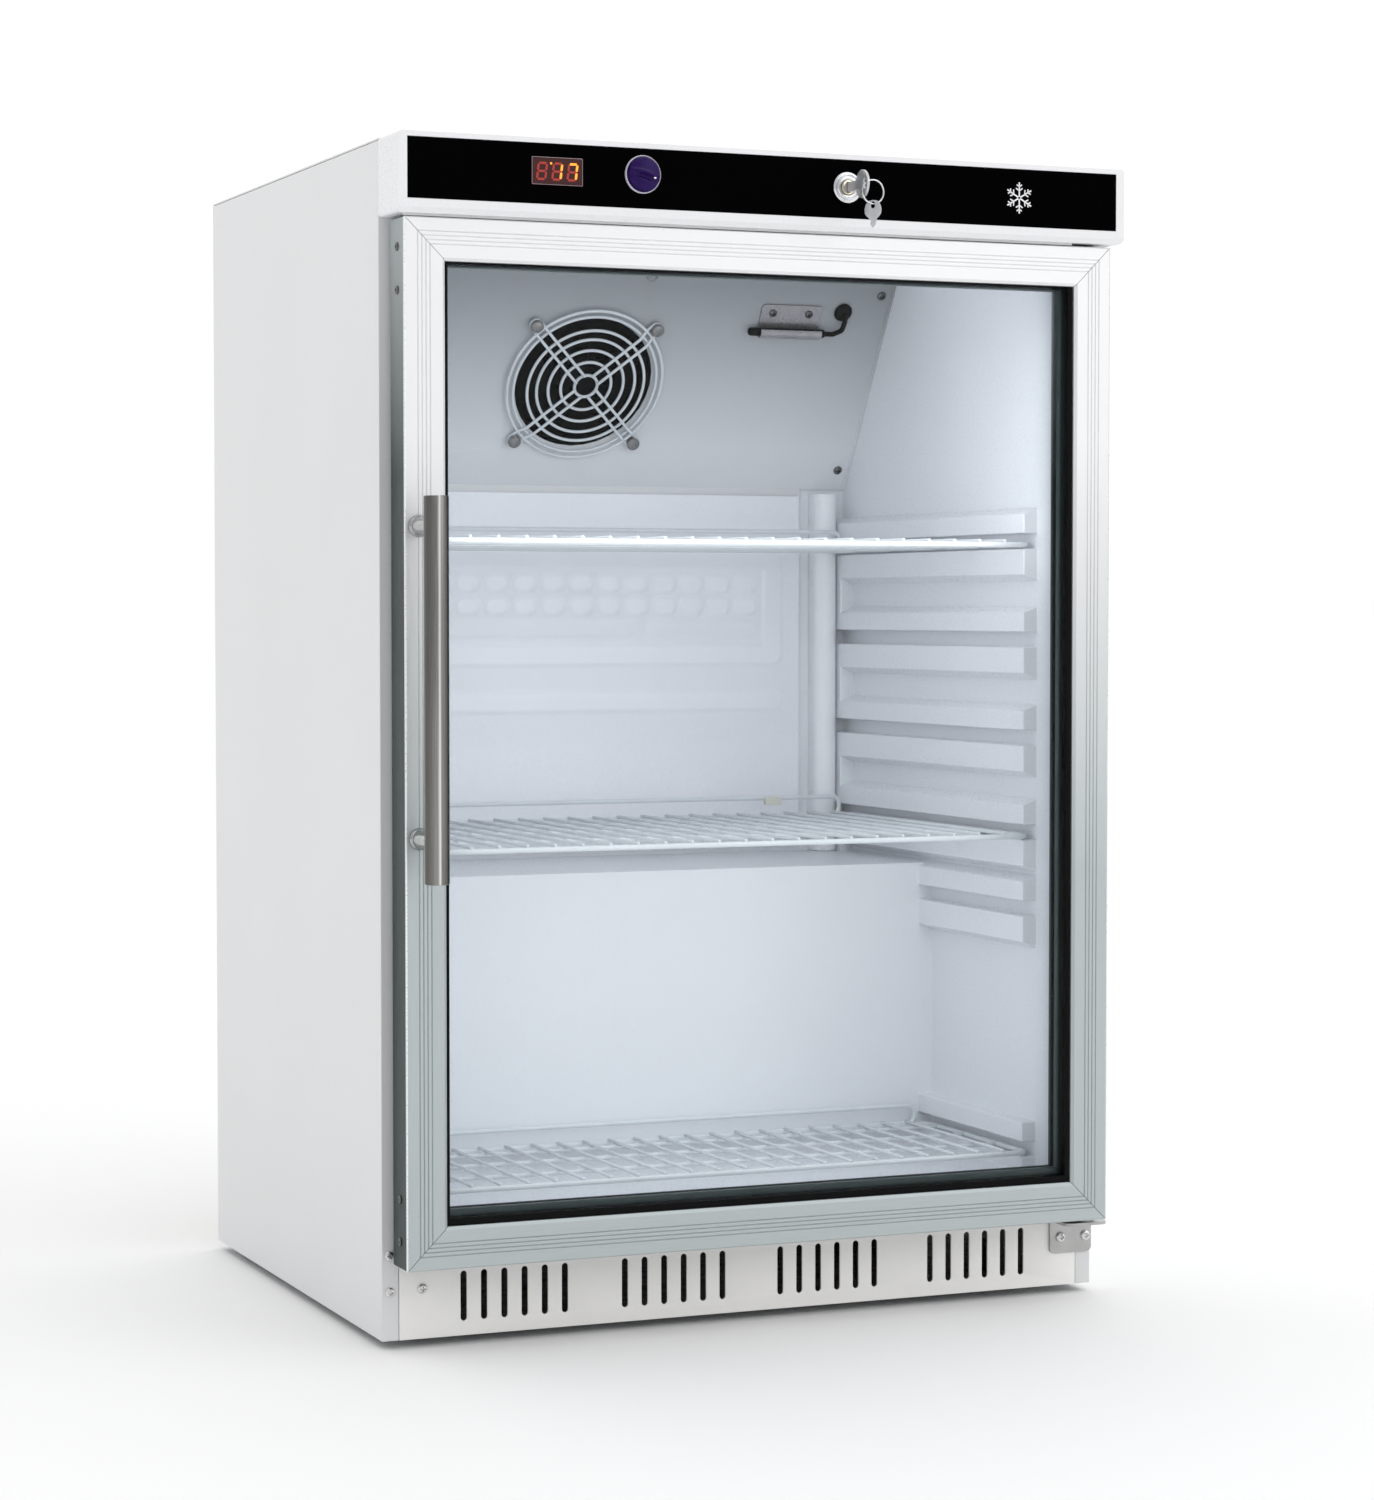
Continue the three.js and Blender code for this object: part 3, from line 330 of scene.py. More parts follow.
def soften(piece, width, segments=2):
    bevel = piece.modifiers.new("edges", "BEVEL")
    bevel.width = width
    bevel.segments = segments
    bevel.limit_method = "ANGLE"
    bevel.angle_limit = math.radians(35)
    bevel.harden_normals = True


def keep(node, material, edge=0.0, segments=2, dissolve=False):
    """A CAD node that stays: a finer material, welded corners and softened edges."""
    piece = frame["nodes"][node]
    if not piece.material_slots:
        piece.data.materials.append(material)
    piece.material_slots[0].material = material
    weld = piece.modifiers.new("weld", "WELD")
    weld.merge_threshold = 0.00001
    if dissolve:
        flat = piece.modifiers.new("flat_faces", "DECIMATE")
        flat.decimate_type = "DISSOLVE"
        flat.angle_limit = math.radians(1)
    if edge:
        soften(piece, edge, segments)


# ---------------------------------------------------------------- materials
def blank(name):
    """A new material with only a Principled shader, as (material, tree, shader)."""
    material = bpy.data.materials.new(name)
    material.use_nodes = True
    tree = material.node_tree
    shader = next(n for n in tree.nodes if n.type == "BSDF_PRINCIPLED")
    return material, tree, shader


def feed(tree, socket, value):
    """Links a socket to another one, or sets its value; a colour is three numbers."""
    if isinstance(value, bpy.types.NodeSocket):
        tree.links.new(value, socket)
    elif socket.type == "RGBA":
        socket.default_value = (*value, 1)
    else:
        socket.default_value = value


def feed_inputs(tree, node, **inputs):
    """Feeds a node's inputs by name, with underscores for the spaces."""
    for name, value in inputs.items():
        feed(tree, node.inputs[name.replace("_", " ")], value)


def new_node(tree, kind, **inputs):
    node = tree.nodes.new("ShaderNode" + kind)
    feed_inputs(tree, node, **inputs)
    return node


def own_place(tree):
    """The place in the piece's own coordinates, which are the row frame's."""
    return new_node(tree, "TexCoord").outputs["Object"]


def grain_noise(tree, scale, stretch=(1, 1, 1), detail=3.0):
    """Noise laid out in the row frame; stretch squeezes it along each axis."""
    squeeze = new_node(tree, "Mapping", Vector=own_place(tree), Scale=stretch)
    place = squeeze.outputs["Vector"]
    return new_node(tree, "TexNoise", Vector=place, Scale=scale, Detail=detail).outputs["Fac"]


def remap(tree, value, low, high, from_low=0.3, from_high=0.7):
    node = new_node(tree, "MapRange", Value=value, From_Min=from_low, From_Max=from_high,
                    To_Min=low, To_Max=high)
    return node.outputs["Result"]


def blend_colours(tree, factor, first, second):
    """Mixes two colours, each a tuple or a socket."""
    mix = tree.nodes.new("ShaderNodeMix")
    mix.data_type = "RGBA"
    feed(tree, mix.inputs["Factor"], factor)
    for name, colour in (("A", first), ("B", second)):
        socket = next(s for s in mix.inputs if s.name == name and s.type == "RGBA")
        feed(tree, socket, colour)
    return next(s for s in mix.outputs if s.type == "RGBA")


def bump(tree, shader, height, strength, distance):
    node = new_node(tree, "Bump", Strength=strength, Distance=distance, Height=height)
    feed(tree, shader.inputs["Normal"], node.outputs["Normal"])


def shade(colour, amount):
    return tuple(max(0.0, min(1.0, c * amount)) for c in colour)


def faded(tree, base, z0, z1, upper):
    """Fades a colour into another one between two heights."""
    height = new_node(tree, "SeparateXYZ", Vector=own_place(tree)).outputs["Z"]
    return blend_colours(tree, remap(tree, height, 0, 1, z0, z1), base, upper)


def surface(name, colour, roughness, metallic=0.0, specular=0.5, drift=0.03, patch=7.0, spread=0.05,
            grain=900.0, stretch=(1, 1, 1), relief=0.15, depth=0.00008, fade=None):
    """A finish whose colour drifts in large soft patches and whose gloss and relief follow a fine grain."""
    material, tree, shader = blank(name)
    patches = remap(tree, grain_noise(tree, patch), 0, 1)
    tinted = blend_colours(tree, patches, shade(colour, 1 - drift), shade(colour, 1 + drift))
    # Where a fade is given it paints light and shade by height: shade at the top of the fan panel, light at
    # the top of the door core.
    if fade:
        tinted = faded(tree, tinted, *fade)
    fine = grain_noise(tree, grain, stretch)
    gloss = remap(tree, fine, roughness - spread, roughness + spread)
    feed_inputs(tree, shader, Metallic=metallic, Specular_IOR_Level=specular, Base_Color=tinted,
                Roughness=gloss)
    bump(tree, shader, fine, relief, depth)
    return material


def small_steel(name, colour, roughness=0.3):
    """The steel of screws and bolts."""
    return surface(name, colour, roughness, metallic=1, drift=0.1, patch=200, spread=0.08)


def aluminium(name, along_x):
    """Satin anodised aluminium, drawn lengthwise, with painted light that makes it whiter towards the top of
    the door.
    """
    material, tree, shader = blank(name)
    fine = grain_noise(tree, 1400.0, (0.02, 1, 1) if along_x else (1, 1, 0.02), 2.0)
    tall = DOOR_HIGH.z - DOOR_LOW.z
    drawn = blend_colours(tree, remap(tree, fine, 0, 1), (0.46, 0.51, 0.515), (0.50, 0.55, 0.555))
    # Painted light: the drawn aluminium fades to near white towards the top of the door.
    base = faded(tree, drawn, DOOR_LOW.z + 0.36 * tall, DOOR_LOW.z + 0.8 * tall, (0.87, 0.875, 0.88))
    gloss = remap(tree, fine, 0.34, 0.46)
    feed_inputs(tree, shader, Metallic=0.55, Base_Color=base, Roughness=gloss)
    bump(tree, shader, fine, 0.25, 0.00005)
    return material


def brushed_bar_painted_shine(low_x, high_x):
    """Steel brushed lengthwise, with a painted highlight up the front of the bar and painted shade on its
    sides.
    """
    material, tree, shader = blank("handle_steel")
    half = (high_x - low_x) / 2
    across = new_node(tree, "SeparateXYZ", Vector=own_place(tree)).outputs["X"]

    def nearness(share, reach):
        """1 on an upright line at a share of the bar's width, falling to 0 at some reach from it."""
        gap = new_node(tree, "Math")
        gap.operation = "SUBTRACT"
        feed(tree, gap.inputs[0], across)
        feed(tree, gap.inputs[1], low_x + 2 * half * share)
        size = new_node(tree, "Math")
        size.operation = "ABSOLUTE"
        feed(tree, size.inputs[0], gap.outputs["Value"])
        return remap(tree, size.outputs["Value"], 1, 0, 0, reach * half)

    fine = grain_noise(tree, 60.0, (45, 45, 0.4), 2.0)
    brushed = blend_colours(tree, remap(tree, fine, 0, 1), (0.25, 0.24, 0.225), (0.37, 0.36, 0.345))
    # Painted shade darkens the sides of the bar, and a painted highlight runs up its front.
    rounded = blend_colours(tree, nearness(0.40, 1.0), (0.045, 0.042, 0.038), brushed)
    painted_highlight = blend_colours(tree, nearness(0.46, 0.14), rounded, (0.80, 0.80, 0.79))
    gloss = remap(tree, fine, 0.26, 0.36)
    feed_inputs(tree, shader, Metallic=1, Base_Color=painted_highlight, Roughness=gloss)
    bump(tree, shader, fine, 0.3, 0.00005)
    return material


def galvanised_steel():
    """Zinc-coated sheet with its flat crystal spangles."""
    material, tree, shader = blank("galvanised_steel")
    cells = new_node(tree, "TexVoronoi", Scale=130.0, Vector=own_place(tree))
    tone = new_node(tree, "SeparateXYZ", Vector=cells.outputs["Color"])
    base = blend_colours(tree, tone.outputs["X"], (0.42, 0.44, 0.45), (0.60, 0.62, 0.63))
    gloss = remap(tree, tone.outputs["Y"], 0.32, 0.5, 0, 1)
    feed_inputs(tree, shader, Metallic=0.9, Base_Color=base, Roughness=gloss)
    bump(tree, shader, cells.outputs["Distance"], 0.1, 0.0001)
    return material


def window_glass():
    """A clear pane: it lets light straight through and mirrors a little at its faces."""
    material, tree, shader = blank("clear_glass")
    tree.nodes.remove(shader)
    through = new_node(tree, "BsdfTransparent", Color=(0.96, 0.97, 0.975))
    smear = grain_noise(tree, 14.0, (1, 1, 0.4))
    mirror = new_node(tree, "BsdfGlossy", Roughness=remap(tree, smear, 0.01, 0.05))
    edge = new_node(tree, "Fresnel", IOR=1.16)
    mix = new_node(tree, "MixShader", Fac=edge.outputs["Fac"])
    tree.links.new(through.outputs["BSDF"], mix.inputs[1])
    tree.links.new(mirror.outputs["BSDF"], mix.inputs[2])
    output = next(n for n in tree.nodes if n.type == "OUTPUT_MATERIAL")
    tree.links.new(mix.outputs["Shader"], output.inputs["Surface"])
    return material


def lit(name, colour, strength):
    """A glowing display segment, slightly uneven along its length."""
    material, tree, shader = blank(name)
    uneven = remap(tree, grain_noise(tree, 500.0), 0, 1)
    glow = blend_colours(tree, uneven, shade(colour, 0.75), colour)
    feed_inputs(tree, shader, Emission_Color=glow, Base_Color=glow, Emission_Strength=strength,
                Roughness=0.4)
    return material


WHITE_PAINT = surface("white_paint", (0.755, 0.76, 0.765), 0.34, drift=0.012, relief=0.12)
# Brighter than the cabinet's white paint: painted light that offsets the shade on the plinth.
PLINTH_PAINT_LIT = surface("plinth_paint_lit", (0.93, 0.92, 0.90), 0.38, drift=0.02, patch=12, relief=0.12)
CROWN_PLASTIC = surface("crown_plastic", (0.84, 0.845, 0.86), 0.3, drift=0.01, relief=0.05)
# A grey that paints the shade of the crown's underside onto the strip below it.
STRIP_PAINTED_SHADE = surface("crown_strip_painted_shade", (0.60, 0.60, 0.61), 0.4, drift=0.03, patch=20, relief=0.1)
# The fan panel's paint darkens towards its top edge: painted shade.
PANEL_PAINT_SHADED_TOP = surface("panel_paint_shaded_top", (0.77, 0.785, 0.81), 0.36, drift=0.03, patch=5, relief=0.1,
                      fade=(0.66, 0.79, (0.31, 0.325, 0.34)))
LINER = surface("liner_plastic", (0.85, 0.865, 0.90), 0.3, drift=0.02, patch=4, grain=500, relief=0.1)
EVAPORATOR_PAINT = surface("evaporator_paint", (0.92, 0.93, 0.97), 0.26, drift=0.02, grain=700)
DUCT_PLASTIC = surface("duct_plastic", (0.94, 0.955, 0.985), 0.3, drift=0.02, patch=4, grain=500, relief=0.1)
WIRE_COAT = surface("coated_wire", (0.74, 0.77, 0.80), 0.25, drift=0.02, patch=30, relief=0.1)
FOAM = surface("insulation_foam", (0.78, 0.68, 0.42), 0.9, drift=0.12, patch=40, grain=350, relief=1,
               depth=0.001)
ACRYLIC = surface("black_acrylic", (0.001, 0.001, 0.0012), 0.12, specular=0.004, drift=0.2,
                  spread=0.03, relief=0.02)
DARK_PLASTIC = surface("dark_plastic", (0.028, 0.03, 0.033), 0.5, drift=0.12, patch=40, grain=1200,
                       relief=0.4)
# Near-black fan plastic, far darker than the dark plastic: partly the fan's own black, partly painted shade
# in the fan's hollow.
FAN_BLACK_PAINTED_SHADE = surface("fan_plastic_painted_shade", (0.002, 0.002, 0.0022), 0.6, specular=0.02, drift=0.1, patch=40,
                     relief=0.3)
WINDOW_RED = surface("display_window", (0.045, 0.008, 0.008), 0.18, specular=0.3, drift=0.15, patch=60)
WINDOW_RIM = surface("display_rim", (0.42, 0.30, 0.32), 0.3, metallic=0.5, drift=0.1, patch=80)
PURPLE = surface("purple_plastic", (0.019, 0.004, 0.080), 0.24, specular=0.12, drift=0.15, patch=90,
                 grain=1500, relief=0.1)
WHITE_DOT = surface("white_print", (0.9, 0.9, 0.92), 0.4, drift=0.03, patch=300)
CHROME = surface("chrome", (0.74, 0.75, 0.77), 0.09, metallic=1, drift=0.04, patch=60, spread=0.03,
                 relief=0.03)
BRASS = surface("brass", (0.78, 0.72, 0.60), 0.2, metallic=1, drift=0.08, patch=200, spread=0.06)
STEEL = surface("bracket_steel", (0.46, 0.46, 0.455), 0.36, metallic=0.9, drift=0.08, patch=60,
                stretch=(0.05, 1, 1), relief=0.25)
KEY_STEEL = surface("key_steel", (0.56, 0.57, 0.59), 0.34, metallic=0.6, drift=0.06, patch=150, spread=0.06)
KNOB_RIM = surface("knob_rim", (0.74, 0.72, 0.82), 0.3, metallic=0.2, drift=0.04, patch=200)
# A darker copy of chrome for the handle posts: painted shade that stands in for darker reflections.
POST_CHROME_SHADED = surface("post_chrome_shaded", (0.40, 0.41, 0.41), 0.16, metallic=1, drift=0.08, patch=120, spread=0.05)
DARK_SCREW = small_steel("blackened_screw", (0.15, 0.15, 0.15))
BOLT_STEEL = small_steel("guard_bolt_steel", (0.30, 0.29, 0.285))
SCREW_STEEL = small_steel("screw_steel", (0.74, 0.74, 0.74), 0.28)
# Dark grey-green door core plastic that fades to a lighter grey towards the top: painted light.
CORE_PLASTIC_LIT_TOP = surface("door_core_plastic", (0.045, 0.060, 0.060), 0.45, specular=0.2, drift=0.1,
                       patch=9, grain=500, stretch=(1, 1, 0.1), relief=0.2,
                       fade=(0.62, 0.80, (0.40, 0.44, 0.44)))
SPACER = surface("spacer_bar", (0.050, 0.076, 0.074), 0.5, drift=0.1, patch=30, relief=0.2)
BLACK_RUBBER = surface("black_rubber", (0.002, 0.002, 0.0022), 0.55, specular=0.1, drift=0.2, patch=60,
                       relief=0.3)
GREY_RUBBER = surface("grey_rubber", (0.10, 0.105, 0.11), 0.6, drift=0.08, patch=30, relief=0.3)
ENAMEL = surface("black_enamel", (0.012, 0.012, 0.013), 0.32, drift=0.2, patch=50, grain=600, relief=0.3)
COPPER = surface("copper", (0.62, 0.29, 0.16), 0.3, metallic=1, drift=0.16, patch=45, spread=0.1)
BEIGE = surface("beige_plastic", (0.72, 0.70, 0.62), 0.45, drift=0.04, patch=120)
CLIP_STEEL = surface("sensor_bracket_steel", (0.40, 0.385, 0.39), 0.3, metallic=0.8, drift=0.07, patch=90)
ALUMINIUM_LEVEL_PAINTED_LIGHT = aluminium("satin_aluminium_level_painted_light", True)
ALUMINIUM_UPRIGHT_PAINTED_LIGHT = aluminium("satin_aluminium_upright_painted_light", False)
GALVANISED = galvanised_steel()
HANDLE_STEEL = brushed_bar_painted_shine(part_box("handle_bar")[0].x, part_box("handle_bar")[1].x)
GLASS = window_glass()
# A near-white finish for the thin beads on the door's upright edges: a painted highlight.
EDGE_HIGHLIGHT = surface("painted_edge_highlight", (0.93, 0.935, 0.94), 0.3, metallic=0.3, drift=0.03, patch=20)
LIT_ORANGE = lit("display_lit", (1.0, 0.26, 0.02), 1.6)
# The unlit segments glow faintly too: painted light.
UNLIT_SEGMENT_GLOW = lit("display_dim", (0.30, 0.018, 0.008), 0.55)


# ---------------------------------------------------------------- cabinet
def cabinet_shell():
    for node in ("side_panel_left", "side_panel_right", "top_panel"):
        keep(node, WHITE_PAINT, 0.7 * MM, dissolve=True)
    for node in ("back_panel", "base_pan", "machine_bay_panel"):
        keep(node, GALVANISED, 0.3 * MM, dissolve=True)
    keep("insulation_foam", FOAM)


def plinth():
    """The front plinth with four groups of six upright, round-ended slots."""
    low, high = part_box("plinth_grille")
    slot = 2.4 * MM
    half_gap = 15.6 * MM
    middle_z = low.z + 28.5 * MM
    pitch = 15.5 * MM
    group_pitch = 124.3 * MM
    first = low.x + 48.4 * MM
    loops = [rounded_rectangle(low.x, high.x, low.z, high.z, 0.6 * MM, 2)]
    for group in range(4):
        for i in range(6):
            x = first + group * group_pitch + i * pitch
            loops.append(oblong(x, middle_z, half_gap, slot, 8))
    plate = pierced(loops, 0, SHEET, 0.25 * MM)
    Piece().add(plate, facing_front(0, high.y, 0)).make(
        "plinth_grille_plate", "root", PLINTH_PAINT_LIT, "white_paint", "plinth_grille")


def front_screws():
    """Pan heads on the side panel's front flange and the plinth's end."""
    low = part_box("plinth_grille")[0]
    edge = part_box("side_panel_left")[0].x + 6 * MM
    places = [(edge, 41 * MM), (edge - 0.5 * MM, 67 * MM), (low.x + 17 * MM, 42 * MM)]
    screws = Piece()
    for x, z in places:
        screws.add(screw_head(3.6 * MM, 2 * MM), facing_front(x, low.y, z))
    screws.make("front_screws", "root", SCREW_STEEL, "brushed_steel")


def back_screws():
    low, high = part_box("back_panel")
    inset = 12 * MM
    screws = Piece()
    for x in (low.x + inset, 0, high.x - inset):
        for z in (low.z + inset, (low.z + high.z) / 2, high.z - inset):
            screws.add(screw_head(4 * MM, 1.8 * MM), facing_back(x, high.y, z))
    screws.make("back_screws", "root", SCREW_STEEL, "galvanised_steel")


def levelling_feet():
    """A moulded pad with a ribbed skirt, a lock nut and a threaded stud."""
    hexagon = circle(0, 0, 7 * MM, 6)
    stud = 4 * MM
    for name in ("front_left", "front_right", "rear_left", "rear_right"):
        low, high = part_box(f"foot_{name}")
        spot = facing_up((low.x + high.x) / 2, (low.y + high.y) / 2, 0)
        pad = (high.x - low.x) / 2
        profile = [(0, 0), (pad - 1.2 * MM, 0), (pad, 1.2 * MM), (pad, 2.8 * MM), (pad - 1.4 * MM, 3.8 * MM),
                   (10 * MM, 5.2 * MM), (8 * MM, 5.6 * MM), (stud, 5.6 * MM)]
        for i in range(22):
            profile += [(stud, (5.8 + 1.25 * i) * MM), (stud - 0.5 * MM, (6.4 + 1.25 * i) * MM)]
        profile += [(stud - 0.6 * MM, high.z), (0, high.z)]
        foot = Piece().add(turned(profile, 40), spot)
        foot.make(f"foot_{name}_pad", f"foot_{name}_screw", DARK_PLASTIC, "dark_plastic", f"foot_{name}")
        nut = Piece().add(prism(hexagon, 5.7 * MM, 7.6 * MM), spot)
        nut.make(f"foot_{name}_nut", f"foot_{name}_screw", SCREW_STEEL, "dark_plastic", bevel=0.4 * MM)


# ---------------------------------------------------------------- storage space
def liner_shell():
    keep("liner", LINER, 2.2 * MM, 3, dissolve=True)


def duct():
    low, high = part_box("rear_duct")
    radius = (high.x - low.x) / 2
    centre = (low.x + high.x) / 2
    front = low.y + radius
    outline = arc(centre, front, radius, 180, 360, 24) + [(high.x, high.y), (low.x, high.y)]
    Piece().add(prism(outline, low.z, high.z)).make(
        "rear_duct_cover", "root", DUCT_PLASTIC, "liner_plastic", "rear_duct", bevel=0.8 * MM)


def evaporator():
    """A roll-bonded plate: broad blown channels, and rows of small bubbles between them."""
    low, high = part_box("evaporator_plate")
    step = 1.6 * MM
    columns = int((high.x - low.x) / step) + 1
    rows = int((high.z - low.z) / step) + 1
    xs = np.linspace(low.x, high.x, columns)
    zs = np.linspace(low.z, high.z, rows)
    x, z = np.meshgrid(xs, zs)

    def run(x0, z0, x1, z1, half, height, soft=3 * MM):
        """A straight channel with round ends."""
        length = math.hypot(x1 - x0, z1 - z0)
        share = np.clip(((x - x0) * (x1 - x0) + (z - z0) * (z1 - z0)) / length ** 2, 0, 1)
        gap = np.hypot(x - x0 - share * (x1 - x0), z - z0 - share * (z1 - z0))
        t = np.clip((half - gap) / soft, 0, 1)
        return height * t * t * (3 - 2 * t)

    left = low.x + 22 * MM
    right = high.x - 25 * MM
    inner = high.x - 46 * MM
    upper = high.z - 55 * MM
    lower = upper - 80 * MM
    tall = 1.0 * MM
    wide = 10 * MM
    raised = np.zeros_like(x)
    channels = [(left, upper, right, upper), (right, upper, right, lower), (right, lower, left, lower),
                (left, lower - 39 * MM, right, lower - 39 * MM), (left, upper, left, lower - 39 * MM)]
    for channel in channels:
        raised = np.maximum(raised, run(*channel, wide, tall))
    shelf_z = lower + 22 * MM
    for x0, x1 in ((left + 24 * MM, 55 * MM), (78 * MM, inner)):
        raised = np.maximum(raised, run(x0, shelf_z, x1, shelf_z, 8 * MM, tall * 0.8))
    for row in range(2):
        for i in range(14):
            cx = inner - 4 * MM - i * 25 * MM
            cz = upper - 20 * MM - row * 19 * MM
            bubble = run(cx - 3 * MM, cz, cx + 3 * MM, cz, 9 * MM, tall * 0.9)
            spot = run(cx + 6 * MM, cz - 5 * MM, cx + 6.5 * MM, cz - 4 * MM, 2.4 * MM, 0.9 * MM, 1.6 * MM)
            raised = np.maximum(raised, bubble) + spot
    face_y = low.y + 1.6 * MM
    points = np.stack([x, face_y - raised, z], axis=-1).reshape(-1, 3).tolist()
    index = np.arange(rows * columns).reshape(rows, columns)
    quads = np.stack([index[:-1, :-1], index[:-1, 1:], index[1:, 1:], index[1:, :-1]], axis=-1).reshape(-1, 4)
    faces = quads.tolist()
    border = [*index[0, :-1], *index[:-1, -1], *index[-1, :0:-1], *index[:0:-1, 0]]
    back = len(points)
    points += [(points[i][0], high.y, points[i][2]) for i in border]
    count = len(border)
    for i in range(count):
        j = (i + 1) % count
        faces.append([int(border[i]), int(border[j]), back + j, back + i])
    faces.append(list(range(back, back + count)))
    Piece().add((points, faces)).make(
        "evaporator_embossed", "root", EVAPORATOR_PAINT, "evaporator_paint", "evaporator_plate", smooth=60)


def wire_shelf(node, body, cross_places):
    """A plastic-coated wire shelf: border, level cross wires, close front-to-back wires and a rear stop."""
    low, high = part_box(node)
    border = 2.1 * MM
    fine = 1.35 * MM
    level = low.z + border
    left, right = low.x + border, high.x - border
    front, rear = low.y + border, high.y - border
    corners = [(left, front, level), (right, front, level), (right, rear, level), (left, rear, level)]
    shelf = Piece()
    shelf.add(tube(rounded_path(corners, 9 * MM, closed=True), border, 14, closed=True))
    for share in cross_places:
        y = front + share * (rear - front)
        shelf.add(tube([(left, y, level - 0.2 * MM), (right, y, level - 0.2 * MM)], 1.7 * MM))
    count = 22
    top = level + border + fine * 0.55
    for i in range(1, count + 1):
        x = left + (right - left) * i / (count + 1)
        shelf.add(tube([(x, front - 0.6 * MM, top), (x, rear, top)], fine, 10))
    half = min(-low.x, high.x) - 16 * MM
    rise = high.z - border
    start = level + 1 * MM
    stop = [(-half, rear, start), (-half, rear, rise), (half, rear, rise), (half, rear, start)]
    shelf.add(tube(rounded_path(stop, 6 * MM, closed=True), border * 0.9, 14, closed=True))
    shelf.make(f"{node}_wires", body, WIRE_COAT, "coated_wire", node)


def shelves():
    wire_shelf("shelf_top", "upper_shelf", (0.25, 0.5, 0.75))
    wire_shelf("shelf_middle", "centre_shelf", (0.3, 0.6, 0.86))
    wire_shelf("shelf_bottom", "lower_shelf", (0.3, 0.62, 0.9))


def shelf_clip():
    """A small plastic clip on the middle shelf's rear stop."""
    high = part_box("shelf_middle")[1]
    x = 174 * MM
    clip = rounded_rectangle(x - 7.5 * MM, x + 7.5 * MM, high.z - 8 * MM, high.z - 1 * MM, 1 * MM)
    Piece().add(prism(clip, 0, 5 * MM), facing_front(0, high.y + 0.6 * MM, 0)).make(
        "shelf_middle_clip", "centre_shelf", BEIGE, "coated_wire", bevel=0.5 * MM)


# ---------------------------------------------------------------- fan panel
def fan_panel():
    keep("fan_panel", PANEL_PAINT_SHADED_TOP, 0.4 * MM)
    low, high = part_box("fan_panel")
    lip = block(low.x, high.x - 40 * MM, low.z - 9 * MM, low.z + 0.5 * MM, 0, SHEET)
    Piece().add(lip, facing_front(0, high.y, 0)).make(
        "fan_panel_lip", "root", WHITE_PAINT, "white_paint", bevel=0.4 * MM)
    slope = (high - low).yz.length / 2
    foot = (FAN.inverted() @ Vector((0, high.y, low.z))).y
    beads = Piece()
    for x in (low.x - 0.5 * MM, high.x + 0.5 * MM):
        u = x - FAN.translation.x
        beads.add(tube([(u, foot + 2 * MM, 0), (u, foot + 2 * slope - 2 * MM, 0)], 1.3 * MM), FAN)
    beads.make("fan_panel_edge_beads", "root", PANEL_PAINT_SHADED_TOP, "white_paint")
    screws = Piece()
    for u in (-247 * MM, 249 * MM):
        for v in (-77.4 * MM, 88 * MM):
            screws.add(screw_head(3.8 * MM, 2.2 * MM), FAN @ facing_up(u, v, 0))
    screws.make("fan_panel_screws", "root", DARK_SCREW, "chrome")
    hook = metres([(34, 104, 1), (34, 99, 6), (38, 96, 7), (42, 99, 6), (42, 104, 1)])
    Piece().add(tube(rounded_path(hook, 1.4 * MM), 0.9 * MM), FAN).make(
        "ceiling_hook", "root", BOLT_STEEL, "chrome")


def fan_guard():
    """Concentric wire rings, four hairpin spokes that loop round the corner bolts, and the bolts."""
    wire = 1.25 * MM
    guard = Piece()
    for radius in (67, 61.7, 50.4, 42.3, 32.4, 21.7, 9.8):
        level = (4.2 if radius > 55 else 6.2) * MM
        path = [(u, v, level) for u, v in circle(0, 0, radius * MM, 72)]
        guard.add(tube(path, wire, 10, closed=True), FAN)
    bolt = 74.2 * MM
    half = 4.4
    outward = metres([(9, -half, 8.2), (58, -half, 8.2), (68.2, -half, 3.6)])
    eye = [(u, v, 3.4 * MM) for u, v in arc(bolt, 0, half * MM, -90, 90, 10)]
    spoke = outward + eye + [(u, -v, w) for u, v, w in outward[::-1]]
    head = metres([(0, 0), (3.2, 0), (3.2, 4.6), (5.2, 4.8), (5.4, 5.4), (5.4, 7.6), (4.6, 8.6),
                   (2.5, 9.1), (0, 9.2)])
    bolts = Piece()
    for quarter in range(4):
        turn = FAN @ Matrix.Rotation(math.radians(45 + 90 * quarter), 4, "Z")
        guard.add(tube(spoke, wire, 10), turn)
        bolts.add(turned(head, 32), turn @ facing_up(bolt, 0, 0.2 * MM))
    guard.make("fan_guard_wires", "root", WIRE_COAT, "coated_wire", "fan_guard")
    bolts.make("fan_guard_bolts", "root", BOLT_STEEL, "chrome")


